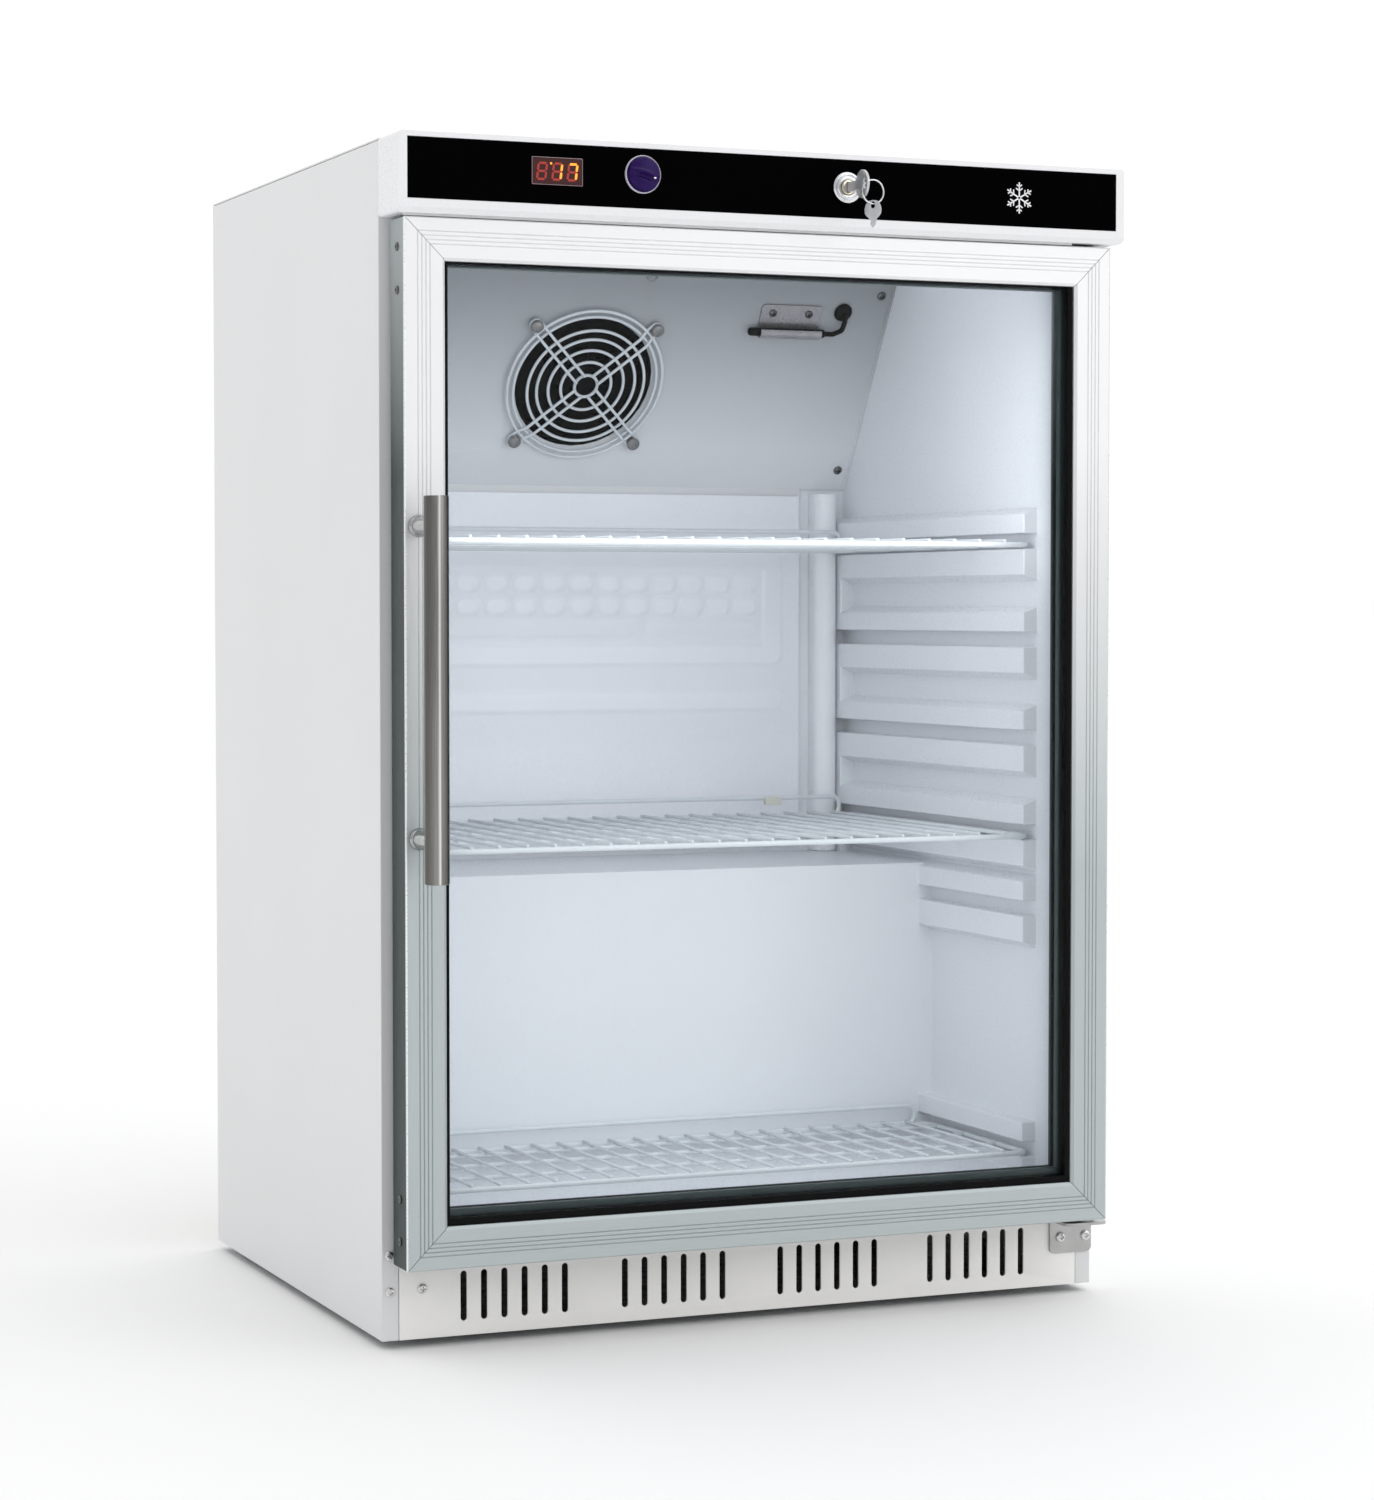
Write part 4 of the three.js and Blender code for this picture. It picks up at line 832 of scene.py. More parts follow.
def fan_rotor():
    """A moulded hub with seven swept blades, in front of a black disc that paints the shade inside the fan's
    opening.
    """
    lift = (Vector(joint("fan_spin")["pos_m"]) - FAN.translation).dot(FAN.col[2].to_3d())
    hub = [(0, -8), (19, -8), (20, -7), (20, 2.5), (18.5, 3.9), (6, 4), (5, 3.4), (0, 3.3)]
    rotor = Piece().add(turned(metres(hub), 48), FAN @ facing_up(0, 0, lift))
    half_thick = 0.8 * MM
    for blade in range(7):
        rows = []
        for i in range(9):
            share = i / 8
            radius = (18.5 + 35.5 * share) * MM
            lead = math.radians(360 * blade / 7 + 14 * share)
            span = math.radians(34 + 3 * math.sin(math.pi * share))
            pitch = (6.5 - 2.0 * share) * MM
            chord = []
            for k in range(7):
                angle = lead + span * k / 6
                rise = pitch * (k / 3 - 1) - 1.2 * MM * math.sin(math.pi * k / 6)
                chord.append((radius * math.cos(angle), radius * math.sin(angle), lift - 2 * MM + rise))
            rows.append([(u, v, w + half_thick) for u, v, w in chord]
                        + [(u, v, w - half_thick) for u, v, w in chord[::-1]])
        points, faces = bridge(rows)
        ring = len(rows[0])
        faces += [list(range(ring))[::-1], list(range(len(points) - ring, len(points)))]
        rotor.add((points, faces), FAN)
    rotor.make("fan_rotor_blades", "fan", FAN_BLACK_PAINTED_SHADE, "dark_plastic", "fan_rotor")
    keep("fan_housing", FAN_BLACK_PAINTED_SHADE, 0.3 * MM)
    # A black disc behind the blades: a dark sheet that paints the shade inside the fan's opening.
    backing = turned(metres([(0, 1), (50, 1), (58, 3), (58, 0)]), 64)
    Piece().add(backing, FAN @ facing_up(0, 0, lift - 14 * MM)).make(
        "fan_hollow_shade_disc", "root", FAN_BLACK_PAINTED_SHADE, "dark_plastic")


def sensor():
    """The rounded plate with its rolled clip, two screws, the black bulb and its lead into the grommet."""
    place = FAN @ facing_up(4 * MM, -97 * MM, 0)
    left, right, top = 139 * MM, 194 * MM, 174 * MM
    bulb_v, bulb_w = 151 * MM, 5.6 * MM
    corner = 4 * MM
    plate = arc(right - corner, top - corner, corner, 0, 90, 6)
    plate += arc(left + corner, top - corner, corner, 90, 180, 6)
    plate += [(left, bulb_v), (right, bulb_v)]
    bracket = Piece().add(prism(plate, 0.3 * MM, 1.7 * MM), place)
    clip = arc(0, 0, 5.2 * MM, -90, -320, 20) + arc(0, 0, 4.0 * MM, -320, -90, 20)
    roll = standing_frame(Vector((left, bulb_v, bulb_w)), Y_AXIS, Z_AXIS)
    bracket.add(prism(clip, 0, right - left), place @ roll)
    bracket.make("sensor_bracket_plate", "root", CLIP_STEEL, "chrome", "sensor_bracket", bevel=0.25 * MM)
    screws = Piece()
    for u in (left + 10.5 * MM, right - 12 * MM):
        screws.add(screw_head(3.4 * MM, 1.9 * MM), place @ facing_up(u, top - 7.5 * MM, 1.7 * MM))
    screws.make("sensor_bracket_screws", "root", DARK_SCREW, "chrome")
    bulb = [(left - 8 * MM, bulb_v, bulb_w), (right + 3 * MM, bulb_v, bulb_w)]
    lead = metres([(190, 151, 5.6), (206, 151, 5.8), (213, 155, 6.4), (214, 163, 6.6),
                   (213, 169, 5.2), (213, 169, 2)])
    probe = Piece().add(tube(bulb, 3.4 * MM, 20), place)
    probe.add(tube(rounded_path(lead, 2.4 * MM), 2.1 * MM, 14), place)
    probe.make("sensor_bulb_lead", "root", BLACK_RUBBER, "black_rubber", "sensor_probe")
    dome = metres([(0, 0.3), (7.6, 0.3), (8, 1), (7.4, 2.6), (5.6, 4), (3, 4.8), (0, 5)])
    Piece().add(turned(dome, 40), place @ facing_up(213 * MM, 169 * MM, 0)).make(
        "cable_grommet_dome", "root", BLACK_RUBBER, "black_rubber", "cable_grommet")


# ---------------------------------------------------------------- crown
def crown():
    keep("crown_housing", CROWN_PLASTIC, 0.6 * MM, 3, dissolve=True)
    keep("control_fascia", ACRYLIC, 0.25 * MM)
    keep("thermostat_body", DARK_PLASTIC, 0.8 * MM)
    keep("lock_cam", STEEL, 0.3 * MM)
    low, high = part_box("crown_housing")
    # A strip below the crown, grey to paint the shade of the crown's underside.
    strip = block(low.x + 6 * MM, high.x - 40 * MM, DOOR_HIGH.z + 0.4 * MM, low.z + 0.3 * MM,
                  -1.6 * MM, 0)
    Piece().add(strip, facing_front(0, DOOR_LOW.y - 0.6 * MM, 0)).make(
        "crown_dust_strip", "root", STRIP_PAINTED_SHADE, "white_paint", bevel=0.2 * MM)


def display():
    """A dark red window in a thin bright rim, with three seven-segment digits that read 17."""
    low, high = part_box("display_module")
    face = facing_front(0, low.y, 0)

    def opening(inset, corner):
        return rounded_rectangle(low.x + inset, high.x - inset, low.z + inset, high.z - inset, corner)

    window = prism(opening(0.5 * MM, 0.5 * MM), low.y - high.y, -0.25 * MM)
    Piece().add(window, face).make(
        "display_window", "root", WINDOW_RED, "display_window", "display_module")
    rim = pierced([opening(0, 0.6 * MM), opening(0.3 * MM, 0.4 * MM)], -0.5 * MM, 0.15 * MM, 0.08 * MM)
    Piece().add(rim, face).make("display_rim", "root", WINDOW_RIM, "display_window")
    digits(low, high)


def digits(low, high):
    """Seven-segment numerals, slanted a little; the lit segments glow, and the unlit ones glow faintly as
    painted light.
    """
    half_wide = 3.1 * MM
    half_tall = 5.6 * MM
    bar = 0.8 * MM
    point = bar * 0.8
    slant = 0.12
    front, back = -0.12 * MM, -0.24 * MM
    lit_segments = ("", "bc", "abc")
    centre_z = (low.z + high.z) / 2 - 0.2 * MM
    centres = [low.x + (high.x - low.x) * share for share in (0.2, 0.5, 0.8)]

    def level(v):
        u = half_wide - 0.9 * MM
        return [(-u - point, v), (-u, v + bar), (u, v + bar), (u + point, v), (u, v - bar), (-u, v - bar)]

    def upright(u, v):
        tall = half_tall / 2 - 1.0 * MM
        return [(u, v + tall + point), (u + bar, v + tall), (u + bar, v - tall),
                (u, v - tall - point), (u - bar, v - tall), (u - bar, v + tall)]

    segments = {"a": level(half_tall), "g": level(0), "d": level(-half_tall),
                "b": upright(half_wide, half_tall / 2), "c": upright(half_wide, -half_tall / 2),
                "f": upright(-half_wide, half_tall / 2), "e": upright(-half_wide, -half_tall / 2)}
    glowing = Piece()
    dim = Piece()
    for centre, lit_names in zip(centres, lit_segments):
        spot = facing_front(centre, low.y, centre_z)
        for name, outline in segments.items():
            slanted = [(u + slant * v, v) for u, v in outline]
            target = glowing if name in lit_names else dim
            target.add(prism(slanted, back, front), spot)
    dot = metres([(0, -0.24), (0.8, -0.24), (0.8, -0.12), (0, -0.1)])
    glowing.add(turned(dot, 16), facing_front(centres[1] - 4.6 * MM, low.y, centre_z + half_tall))
    glowing.make("display_lit_segments", "root", LIT_ORANGE, "display_window")
    dim.make("display_dim_segments", "root", UNLIT_SEGMENT_GLOW, "display_window")


def knob():
    """A domed purple knob with a raised wave-shaped grip across it and a white pointer dot."""
    centre = middle("knob_bezel")
    radius = 12.2 * MM
    grip = math.radians(-17)

    def height_at(u, v):
        reach = math.hypot(u, v) / radius
        along = u * math.cos(grip) + v * math.sin(grip)
        across = -u * math.sin(grip) + v * math.cos(grip)
        across -= 0.11 * radius * math.cos(along / radius * 2.2)
        dome = (3.0 + 3.6 * math.sqrt(max(0.0, 1 - reach ** 2.4))) * MM
        ridge = 1.8 * MM * math.exp(-(across / (0.12 * radius)) ** 2) * (1 - 0.55 * reach ** 6)
        hollow = 1.6 * MM * math.exp(-((across + 0.26 * radius) / (0.13 * radius)) ** 2) * (1 - reach ** 2)
        return dome + ridge - hollow

    spot = facing_front(centre.x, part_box("knob_bezel")[1].y, centre.z)
    cap = Piece().add(polar_dome(radius, 26, 96, height_at), spot)
    cap.add(turned(metres([(0, -12), (3, -12), (3, 0.2), (0, 0.2)]), 24), spot)
    cap.make("knob_cap", "knob", PURPLE, "purple_plastic", "thermostat_knob", smooth=55)
    u = 0.6 * radius * math.cos(grip - 0.06)
    v = 0.6 * radius * math.sin(grip - 0.06)
    dot = turned(metres([(0, -0.4), (0.95, -0.4), (0.85, 0.2), (0, 0.35)]), 24)
    Piece().add(dot, spot @ facing_up(u, v, height_at(u, v))).make(
        "knob_dot", "knob", WHITE_DOT, "purple_plastic")
    ring = metres([(12.5, 0), (13.5, 0), (13.5, 1.4), (13.3, 2.0), (13.0, 2.2), (12.7, 2.0), (12.5, 1.4)])
    Piece().add(turned(ring, 64, closed=True), spot).make(
        "knob_bezel_ring", "root", KNOB_RIM, "chrome", "knob_bezel", smooth=60)


def lock():
    """A rounded chrome collar round the barrel's face, and the brass-toned plug with its keyway."""
    centre = middle("lock_barrel")
    lead = 45 * MM
    back = (FACE_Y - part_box("lock_barrel")[1].y - lead) / MM
    barrel = metres([(5.55, back), (9, back), (9, 0.4), (11.5, 0.4), (11.5, 1.6), (11.2, 2.6), (10.4, 3.3),
                     (9.5, 3.2), (9.0, 2.3), (8.6, 2.2), (8.2, 3.0), (7.6, 3.3), (6.2, 3.3), (5.7, 3.0),
                     (5.55, 2.4)])
    spot = facing_front(centre.x, FACE_Y - lead, centre.z)
    Piece().add(turned(barrel, 64, closed=True), spot).make(
        "lock_barrel_collar", "root", CHROME, "chrome", "lock_barrel", smooth=50)
    low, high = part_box("lock_plug")
    radius = (high.x - low.x) / 2
    depth = high.y - low.y
    face = facing_front(centre.x, low.y, centre.z)
    keyway = rounded_rectangle(-1.3 * MM, 1.3 * MM, -3.9 * MM, 3.9 * MM, 0.4 * MM, 3)
    plug = Piece().add(pierced([circle(0, 0, radius), keyway], -19 * MM, 0, 0.2 * MM), face)
    plug.add(turned([(0, -depth), (radius, -depth), (radius, -18 * MM), (0, -18 * MM)], 48), face)
    plug.make("lock_plug_face", "lock", BRASS, "brass", "lock_plug", smooth=50)


def keys():
    """The key in the lock, the two-turn split ring and the spare key that hangs from it."""
    centre = middle("lock_plug")
    low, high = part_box("key")
    bow = (high.z - low.z) / 2 - 0.3 * MM
    bow_y = low.y + (high.z - low.z) / 2
    tip = high.y - bow_y
    blade = 3.5 * MM
    neck = math.degrees(math.asin(blade / bow))
    outline = arc(0, 0, bow, neck, 360 - neck, 44)
    outline += [(tip - 3 * MM, -blade), (tip, 0), (tip - 3 * MM, blade)]
    eye = oblong(-5 * MM, 0, 1.6 * MM, 2.4 * MM, 12)
    side = standing_frame(Vector((centre.x, bow_y, centre.z)), Y_AXIS, Z_AXIS)
    Piece().add(pierced([outline, eye], -1 * MM, 1 * MM, 0.35 * MM), side).make(
        "key_bow_blade", "lock", KEY_STEEL, "chrome", "key", smooth=50)

    ring_centre = middle("key_ring")
    ring_low, ring_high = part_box("key_ring")
    radius = (ring_high.x - ring_low.x) / 2 - 0.7 * MM
    steps = 96
    turns = []
    for i in range(steps + 1):
        angle = 4 * math.pi * i / steps + 0.6
        offset = (i / steps - 0.5) * 1.1 * MM
        turns.append(ring_centre + Vector((radius * math.cos(angle), offset, radius * math.sin(angle))))
    Piece().add(tube(turns, 0.5 * MM, 12)).make(
        "key_ring_coil", "key_bunch", CHROME, "chrome", "key_ring")

    hang = ring_centre - Z_AXIS * radius
    drop = (hang.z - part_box("spare_key")[0].z) / MM
    turn = math.radians(40)
    place = standing_frame(hang, -Z_AXIS, Vector((-math.sin(turn), math.cos(turn), 0)))
    sides = [(-2.2, 3.2), (0.5, 5.6), (4, 6.6), (7, 6.2), (9.2, 4.6), (10.4, 3.0)]
    teeth = [(drop - 5.6, 2.5), (drop - 4.8, 1.2), (drop - 3.2, 2.0), (drop - 1.6, 1.3), (drop, 0.2)]
    outline = [(-2.6, 0), *sides, *teeth, (drop - 2.4, -2.2), *[(u, -v) for u, v in sides[::-1]]]
    hole = arc(0, 0, 1.7 * MM, 90, 270, 10) + arc(1.6 * MM, 0, 1.7 * MM, -90, 90, 10)
    Piece().add(pierced([metres(outline), hole], -0.7 * MM, 0.7 * MM, 0.3 * MM), place).make(
        "spare_key_leaf", "key_bunch", KEY_STEEL, "chrome", "spare_key", smooth=50)


def emblem():
    """A plain six-armed frost star printed on the fascia."""
    low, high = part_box("control_fascia")
    centre = facing_front(high.x - 82 * MM, low.y, (low.z + high.z) / 2)
    star = Piece()
    for arm in range(6):
        turn = centre @ Matrix.Rotation(math.radians(60 * arm), 4, "Z")
        star.add(block(-0.55 * MM, 0.55 * MM, 0.9 * MM, 11.5 * MM, 0, 0.12 * MM), turn)
        for reach, length in ((5.2 * MM, 3.4 * MM), (8.2 * MM, 2.6 * MM)):
            for lean in (55, -55):
                branch = facing_up(0, reach, 0) @ Matrix.Rotation(math.radians(lean), 4, "Z")
                star.add(block(-0.45 * MM, 0.45 * MM, 0, length, 0, 0.12 * MM), turn @ branch)
    star.make("frost_star_print", "root", WHITE_DOT, "black_acrylic")


# ---------------------------------------------------------------- door
def door_frame():
    for side in ("top", "bottom"):
        keep(f"door_frame_{side}", ALUMINIUM_LEVEL_PAINTED_LIGHT, 0.12 * MM, 1)
    for side in ("left", "right"):
        keep(f"door_frame_{side}", ALUMINIUM_UPRIGHT_PAINTED_LIGHT, 0.12 * MM, 1)
    y = DOOR_LOW.y + 0.3 * MM
    # Thin near-white beads along both upright edges of the frame: a painted highlight.
    edges = Piece()
    for x in (DOOR_LOW.x + 0.2 * MM, DOOR_HIGH.x - 0.2 * MM):
        edges.add(tube([(x, y, DOOR_LOW.z + 0.5 * MM), (x, y, DOOR_HIGH.z - 0.5 * MM)], 0.6 * MM))
    edges.make("door_frame_highlight_beads", "door", EDGE_HIGHLIGHT, "satin_aluminium")
    keep("door_core", CORE_PLASTIC_LIT_TOP, 0.4 * MM, dissolve=True)
    keep("glass_outer", GLASS)
    keep("glass_inner", GLASS)


def door_ring(node, name, material, slot, smooth, profile_of):
    """A mitred ring in a CAD node's place. Its profile is made from the node's near inset, front and back."""
    low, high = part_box(node)

    def profile(side):
        return profile_of(side, low.x - DOOR_LOW.x, low.y, high.y)

    Piece().add(mitred_ring(profile)).make(name, "door", material, slot, node, smooth=smooth)


def bead_profile(side, near, front, back):
    far = SEAL_SIGHT[side] * MM
    return [(near, back), (near, front + 1 * MM), (near + 0.4 * MM, front),
            (far - 0.9 * MM, front + 0.4 * MM), (far - 0.4 * MM, front + 2.4 * MM),
            (far, back - 0.8 * MM), (far, back)]


def spacer_profile(side, near, front, back):
    far = SPACER_SIGHT[side] * MM
    rib = 0.5 * MM
    return [(near, front), (far - rib, front), (far - rib, front + rib), (far, front + 2 * rib),
            (far, back - 2 * rib), (far - rib, back - rib), (far - rib, back), (near, back)]


def gasket_profile(side, near, front, back):
    """The gasket's section is the same on each side: a base, a bellows and a lip."""
    back -= 0.1 * MM
    section = [(front, (0, 0), (11.5, 0), (11.5, 0.8), (8, 1.1), (9.4, 2.1)),
               (back, (9.8, -0.3), (9, 0), (2.4, 0), (1.6, -0.4)),
               (front, (2, 2), (3.4, 1.1), (0, 0.8))]
    return [(near + inset, start + y) for start, *points in section for inset, y in metres(points)]


def door_seals():
    """The black bead round the glass, the slate spacer between the panes and the magnetic gasket behind."""
    door_ring("glazing_seal", "glazing_bead", BLACK_RUBBER, "black_rubber", 30, bead_profile)
    door_ring("glazing_spacer", "glazing_spacer_bar", SPACER, "spacer_bar", 30, spacer_profile)
    door_ring("door_gasket", "door_gasket_bellows", GREY_RUBBER, "grey_rubber", 50, gasket_profile)


def door_edge_screws():
    """Small screws along both upright edges of the door."""
    y = (DOOR_LOW.y + DOOR_HIGH.y) / 2
    head = screw_head(3 * MM, 1.2 * MM)
    screws = Piece()
    for z in (DOOR_LOW.z + 19 * MM, DOOR_LOW.z + 49 * MM, DOOR_HIGH.z - 50 * MM, DOOR_HIGH.z - 20 * MM):
        screws.add(head, standing_frame(Vector((DOOR_LOW.x, y, z)), -Y_AXIS, Z_AXIS))
        screws.add(head, standing_frame(Vector((DOOR_HIGH.x, y, z)), Y_AXIS, Z_AXIS))
    screws.make("door_edge_screws", "door", DARK_SCREW, "door_core_plastic")


def handle():
    """A round brushed bar on two flanged posts."""
    low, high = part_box("handle_bar")
    centre = (low + high) / 2
    radius = (high.x - low.x) / 2
    length = high.z - low.z
    end = [(0, 0.4 * MM), (radius - 2.2 * MM, 0.4 * MM), (radius - 1.8 * MM, 0), (radius - 0.9 * MM, 0),
           (radius - 0.25 * MM, 0.3 * MM), (radius, 1 * MM)]
    profile = end + [(u, length - w) for u, w in end[::-1]]
    Piece().add(turned(profile, 64), facing_up(centre.x, centre.y, low.z)).make(
        "handle_bar_tube", "door", HANDLE_STEEL, "brushed_steel", "handle_bar")
    for name in ("top", "bottom"):
        post_low, post_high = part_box(f"handle_post_{name}")
        post = (post_low + post_high) / 2
        shank = (post_high.x - post_low.x) / 2
        reach = post_high.y - centre.y - radius * 0.8
        flange = [(0, 0), (shank + 1.6 * MM, 0), (shank + 1.8 * MM, 0.6 * MM), (shank + 1.2 * MM, 1.6 * MM),
                  (shank + 0.3 * MM, 2.4 * MM), (shank, 3.4 * MM), (shank - 0.6 * MM, reach), (0, reach)]
        Piece().add(turned(flange, 40), facing_front(post.x, post_high.y, post.z)).make(
            f"handle_post_{name}_turned", "door", POST_CHROME_SHADED, "chrome", f"handle_post_{name}", smooth=50)


def hinge_brackets():
    """Stainless plates with a pin ledge; the lower one shows two screws."""
    low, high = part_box("hinge_bracket_bottom")
    face_y = FACE_Y - 0.3 * MM
    thick = 1.9 * MM
    corner = 6 * MM
    pin = Vector(joint("door_hinge")["pos_m"])
    ledge_z = DOOR_LOW.z - 3 * MM
    plate = rounded_rectangle(low.x, high.x, low.z, ledge_z, 4 * MM)
    bracket = Piece().add(prism(plate, 0, thick), facing_front(0, face_y, 0))
    ledge = [(low.x, face_y), (high.x, face_y),
             *arc(high.x - corner, pin.y - corner / 2, corner, 0, -90, 8),
             *arc(low.x + corner, pin.y - corner / 2, corner, -90, -180, 8)]
    bracket.add(prism(ledge, ledge_z - 2.5 * MM, ledge_z))
    foot, shoulder = ledge_z - 0.2 * MM, DOOR_LOW.z - 0.4 * MM
    collar = [(0, foot), (7 * MM, foot), (7 * MM, shoulder), (4 * MM, shoulder), (4 * MM, high.z - 0.6 * MM),
              (3.4 * MM, high.z), (0, high.z)]
    bracket.add(turned(collar, 32), facing_up(pin.x, pin.y, 0))
    bracket.make("hinge_bracket_bottom_plate", "root", STEEL, "brushed_steel", "hinge_bracket_bottom",
                 bevel=0.3 * MM)
    screws = Piece()
    for x in (low.x + 9 * MM, high.x - 5.5 * MM):
        screws.add(screw_head(4 * MM, 2.4 * MM), facing_front(x, face_y - thick, low.z + 12.5 * MM))
    screws.make("hinge_bracket_screws", "root", SCREW_STEEL, "brushed_steel")
    keep("hinge_bracket_top", STEEL, 0.3 * MM)


# ---------------------------------------------------------------- machine bay
def compressor():
    """A drawn black shell with its seam, on two rails with rubber grommets."""
    low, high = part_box("compressor")
    spot = facing_up((low.x + high.x) / 2, (low.y + high.y) / 2, low.z)
    height = (high.z - low.z) / MM
    profile = metres([(0, 6), (44, 6), (62, 12), (72, 24), (76, 38), (76.5, 88), (79, 91), (79, 97),
                      (76.5, 99), (75.5, 116), (69, 136), (56, 150), (36, height - 1.5), (0, height)])
    shell = Piece().add(turned(profile, 72), spot @ Matrix.Diagonal((1.12, 1, 1, 1)))
    rails = (-62 * MM, 62 * MM)
    for v in rails:
        foot = rounded_rectangle(-96 * MM, 96 * MM, v - 14 * MM, v + 14 * MM, 6 * MM)
        shell.add(prism(foot, 4 * MM, 7 * MM), spot)
    shell.make("compressor_shell", "root", ENAMEL, "black_enamel", "compressor", smooth=34)
    rubber = metres([(0, 0), (9, 0), (9.5, 1.5), (8, 3.6), (8, 6.8), (9, 8), (8, 9.6), (3, 10), (0, 10)])
    grommets = Piece()
    for u in (-84 * MM, 84 * MM):
        for v in rails:
            grommets.add(turned(rubber, 28), spot @ facing_up(u, v, 0))
    grommets.make("compressor_grommets", "root", BLACK_RUBBER, "black_enamel")


def machine_bay():
    keep("relay_box", DARK_PLASTIC, 3 * MM, 3)
    keep("drip_tray", DARK_PLASTIC, 0.8 * MM, dissolve=True)
    low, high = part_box("filter_drier")
    radius = (high.x - low.x) / 2 / MM
    height = (high.z - low.z) / MM
    profile = metres([(0, 0), (3, 0), (3, 10), (5, 14), (radius - 2, 20), (radius, 25), (radius, height - 26),
                      (radius - 2, height - 20), (5, height - 12), (3, height - 9), (3, height), (0, height)])
    Piece().add(turned(profile, 40), facing_up((low.x + high.x) / 2, (low.y + high.y) / 2, low.z)).make(
        "filter_drier_body", "root", COPPER, "copper", "filter_drier", smooth=50)
    centre = middle("cord_gland")
    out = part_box("cord_gland")[1].y
    gland = metres([(3.8, -12), (6.8, -12), (6.8, 2), (10.4, 2), (10.4, 8), (9, 9), (8.2, 13.5), (7, 15),
                    (3.8, 15)])
    Piece().add(turned(gland, 12, closed=True), facing_back(centre.x, out - 15 * MM, centre.z)).make(
        "cord_gland_nut", "root", DARK_PLASTIC, "dark_plastic", "cord_gland", bevel=0.3 * MM)


def condenser():
    """A level serpentine tube between two rows of fine upright wires, on stand-offs."""
    low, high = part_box("condenser_coil")
    front = FACE_Y + 455 * MM
    centre_y = (front + high.y) / 2
    radius = 2.6 * MM
    rungs = 13
    bottom = low.z + radius + 3 * MM
    pitch = (high.z - low.z - 2 * radius - 6 * MM) / (rungs - 1)
    bend = pitch / 2
    left = low.x + bend + 4 * MM
    right = high.x - bend - 4 * MM
    path = []
    for i in range(rungs):
        z = bottom + i * pitch
        start, stop, way = (left, right, 1) if i % 2 == 0 else (right, left, -1)
        path += [Vector((start, centre_y, z)), Vector((stop, centre_y, z))]
        if i < rungs - 1:
            path += [Vector((stop + way * u, centre_y, z + bend + v)) for u, v in arc(0, 0, bend, -75, 75, 8)]
    Piece().add(tube(path, radius, 10)).make(
        "condenser_tube", "root", ENAMEL, "black_enamel", "condenser_coil")
    wires = Piece()
    count = 46
    for i in range(count):
        x = left + 4 * MM + (right - left - 8 * MM) * i / (count - 1)
        for y in (centre_y - radius - 0.6 * MM, centre_y + radius + 0.6 * MM):
            wires.add(tube([(x, y, low.z + 1 * MM), (x, y, high.z - 1 * MM)], 0.75 * MM, 6))
    wires.make("condenser_wires", "root", ENAMEL, "black_enamel")
    panel_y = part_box("back_panel")[1].y
    straps = Piece()
    for x in (low.x + 34 * MM, high.x - 34 * MM):
        for z in (low.z + 40 * MM, high.z - 40 * MM):
            straps.add(block(x - 6 * MM, x + 6 * MM, panel_y, front - 0.5 * MM, z - 8 * MM, z + 8 * MM))
    straps.make("condenser_stand_offs", "root", ENAMEL, "black_enamel", bevel=1 * MM)


def smooth_route(points, steps=8):
    """A smooth curve through given points."""
    route = []
    for i in range(len(points) - 1):
        p0 = points[max(i - 1, 0)]
        p1, p2 = points[i], points[i + 1]
        p3 = points[min(i + 2, len(points) - 1)]
        for k in range(steps):
            t = k / steps
            route.append(0.5 * ((2 * p1) + (p2 - p0) * t + (2 * p0 - 5 * p1 + 4 * p2 - p3) * t * t
                                + (3 * p1 - p0 - 3 * p2 + p3) * t ** 3))
    return route + [points[-1]]


def beside(origin, points):
    """Places given in millimetres from an origin."""
    return [origin + Vector(p) for p in metres(points)]


def pipes():
    """The thin discharge line up to the condenser, and the thicker suction line into the back."""
    shell = middle("compressor")
    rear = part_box("back_panel")[1].y
    at_shell = Vector((shell.x, shell.y, 0))
    behind_shell = Vector((shell.x, rear, 0))
    behind_back = Vector((0, rear, 0))
    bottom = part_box("condenser_coil")[0].z / MM - 1
    discharge = beside(at_shell, [(86.6, 10, 86), (108, 14, 90), (128, 40, 120)])
    discharge += beside(behind_shell, [(132, 2, 190), (110, 24, 260)])
    discharge += beside(behind_back, [(-60, 26, 308), (-170, 24, 314), (-200, 22, 320), (-206, 22, 332),
                                      (-206, 22, bottom)])
    suction = beside(at_shell, [(86.6, -14, 70), (118, -12, 76), (170, 20, 130), (190, 66, 190)])
    suction += beside(behind_shell, [(196, 16, 260), (196, 18, 310), (196, 13, 326), (196, 7, 330),
                                     (196, 1, 330)])
    for name, route, radius in (("discharge_pipe", discharge, 3 * MM), ("suction_pipe", suction, 4 * MM)):
        Piece().add(tube(smooth_route(route), radius, 14)).make(
            f"{name}_run", "root", COPPER, "copper", name)


# ---------------------------------------------------------------- camera and studio
def aim(thing, place, target):
    """Puts a camera or a lamp in its place, looking at the target."""
    thing.location = place
    thing.rotation_euler = (Vector(target) - Vector(place)).to_track_quat("-Z", "Y").to_euler()


def camera():
    """A long lens to the left of the front, at the height of the middle shelf."""
    eye = (-1.0451, -2.5539, 0.5241)
    target = (-0.0513, -0.1945, 0.4226)
    data = bpy.data.cameras.new("camera")
    data.lens = 84.2
    data.clip_end = 200
    viewer = new_object("camera", data)
    aim(viewer, eye, target)
    bpy.context.scene.camera = viewer


def area_light(name, place, target, size, power):
    data = bpy.data.lights.new(name, "AREA")
    data.shape = "RECTANGLE"
    data.size, data.size_y = size
    data.energy = power
    lamp = new_object(name, data)
    aim(lamp, place, target)
    lamp.visible_camera = False


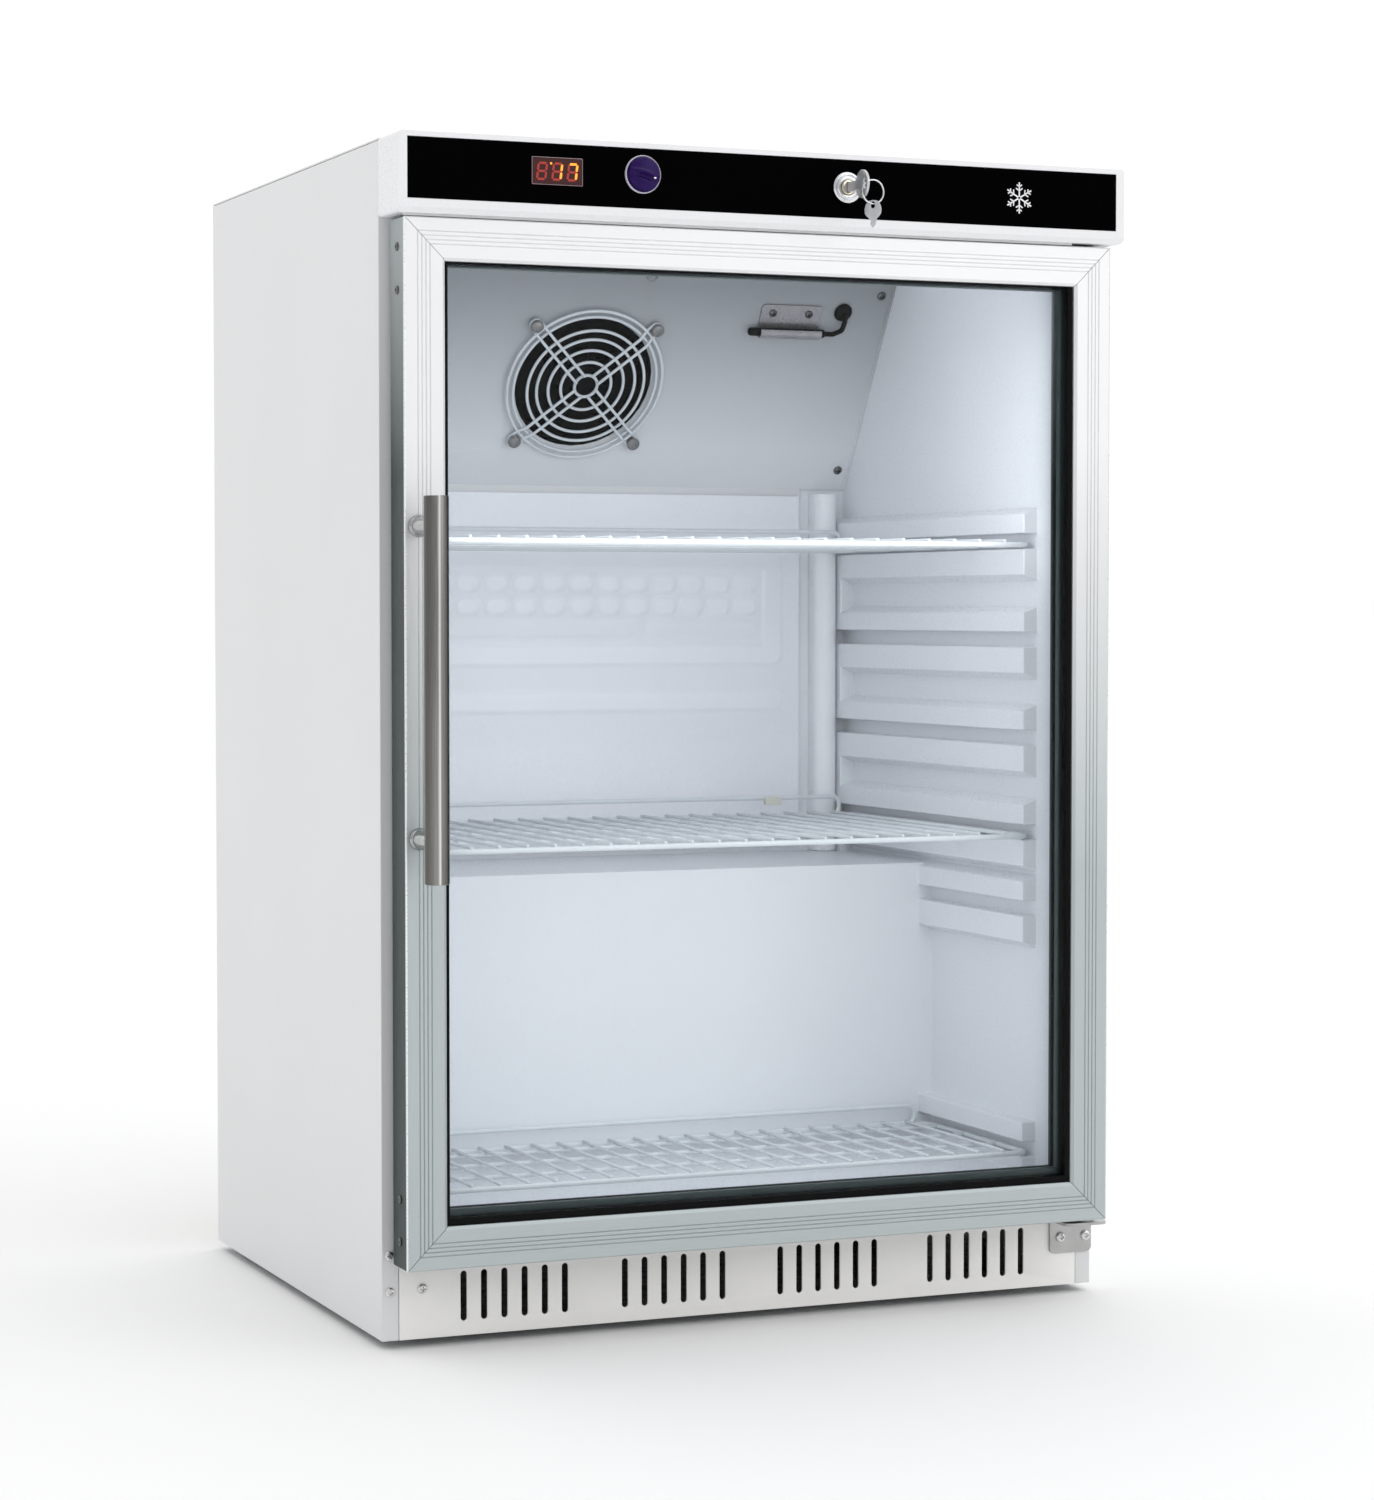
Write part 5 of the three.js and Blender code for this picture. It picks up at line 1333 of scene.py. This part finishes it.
def floor():
    points, faces = turned([(0, 0), (3, 0), (40, 0)], 96)
    mesh = bpy.data.meshes.new("floor")
    mesh.from_pydata(points, [], faces)
    mesh.materials.append(surface("floor_white", (0.93, 0.93, 0.93), 0.8, drift=0.01, patch=1, relief=0.02))
    sheet = new_object("floor", mesh)
    sheet.location.z = -0.2 * MM


def surround():
    """A white sky, brighter overhead and darker behind the camera, where shiny pieces mirror it."""
    world = bpy.data.worlds.new("studio")
    bpy.context.scene.world = world
    world.use_nodes = True
    tree = world.node_tree
    direction = new_node(tree, "TexCoord").outputs["Generated"]
    height = new_node(tree, "SeparateXYZ", Vector=direction).outputs["Z"]
    open_sky = blend_colours(tree, remap(tree, height, 0, 1, 0, 0.7), (1.0, 1.0, 1.0), (1.3, 1.3, 1.3))
    facing = new_node(tree, "VectorMath")
    facing.operation = "DOT_PRODUCT"
    feed(tree, facing.inputs[0], direction)
    feed(tree, facing.inputs[1], (-0.7, -0.7, 0))
    behind_camera = remap(tree, facing.outputs["Value"], 0, 1, 0, 0.8)
    sky = blend_colours(tree, behind_camera, open_sky, (0.60, 0.60, 0.61))
    background = next(n for n in tree.nodes if n.type == "BACKGROUND")
    feed(tree, background.inputs["Color"], sky)


def studio():
    """A key light in front, and two soft lights just behind the door that fill the storage space."""
    floor()
    surround()
    area_light("key_light", (1.6, -2.6, 2.1), (0, 0, 0.4), (1.8, 1.8), 10)
    behind_door = FACE_Y + 6 * MM
    for name, z, tall, power in (("cabinet_fill", 0.43, 0.64, 0.84), ("upper_fill", 0.65, 0.20, 0.40)):
        area_light(name, (0, behind_door, z), (0, behind_door + 1, z), (0.46, tall), power)
    bpy.context.scene.view_settings.view_transform = "Standard"


camera()
cabinet_shell()
plinth()
front_screws()
back_screws()
levelling_feet()
liner_shell()
duct()
evaporator()
shelves()
shelf_clip()
fan_panel()
fan_guard()
fan_rotor()
sensor()
crown()
display()
knob()
lock()
keys()
emblem()
door_frame()
door_seals()
door_edge_screws()
handle()
hinge_brackets()
compressor()
machine_bay()
condenser()
pipes()
studio()
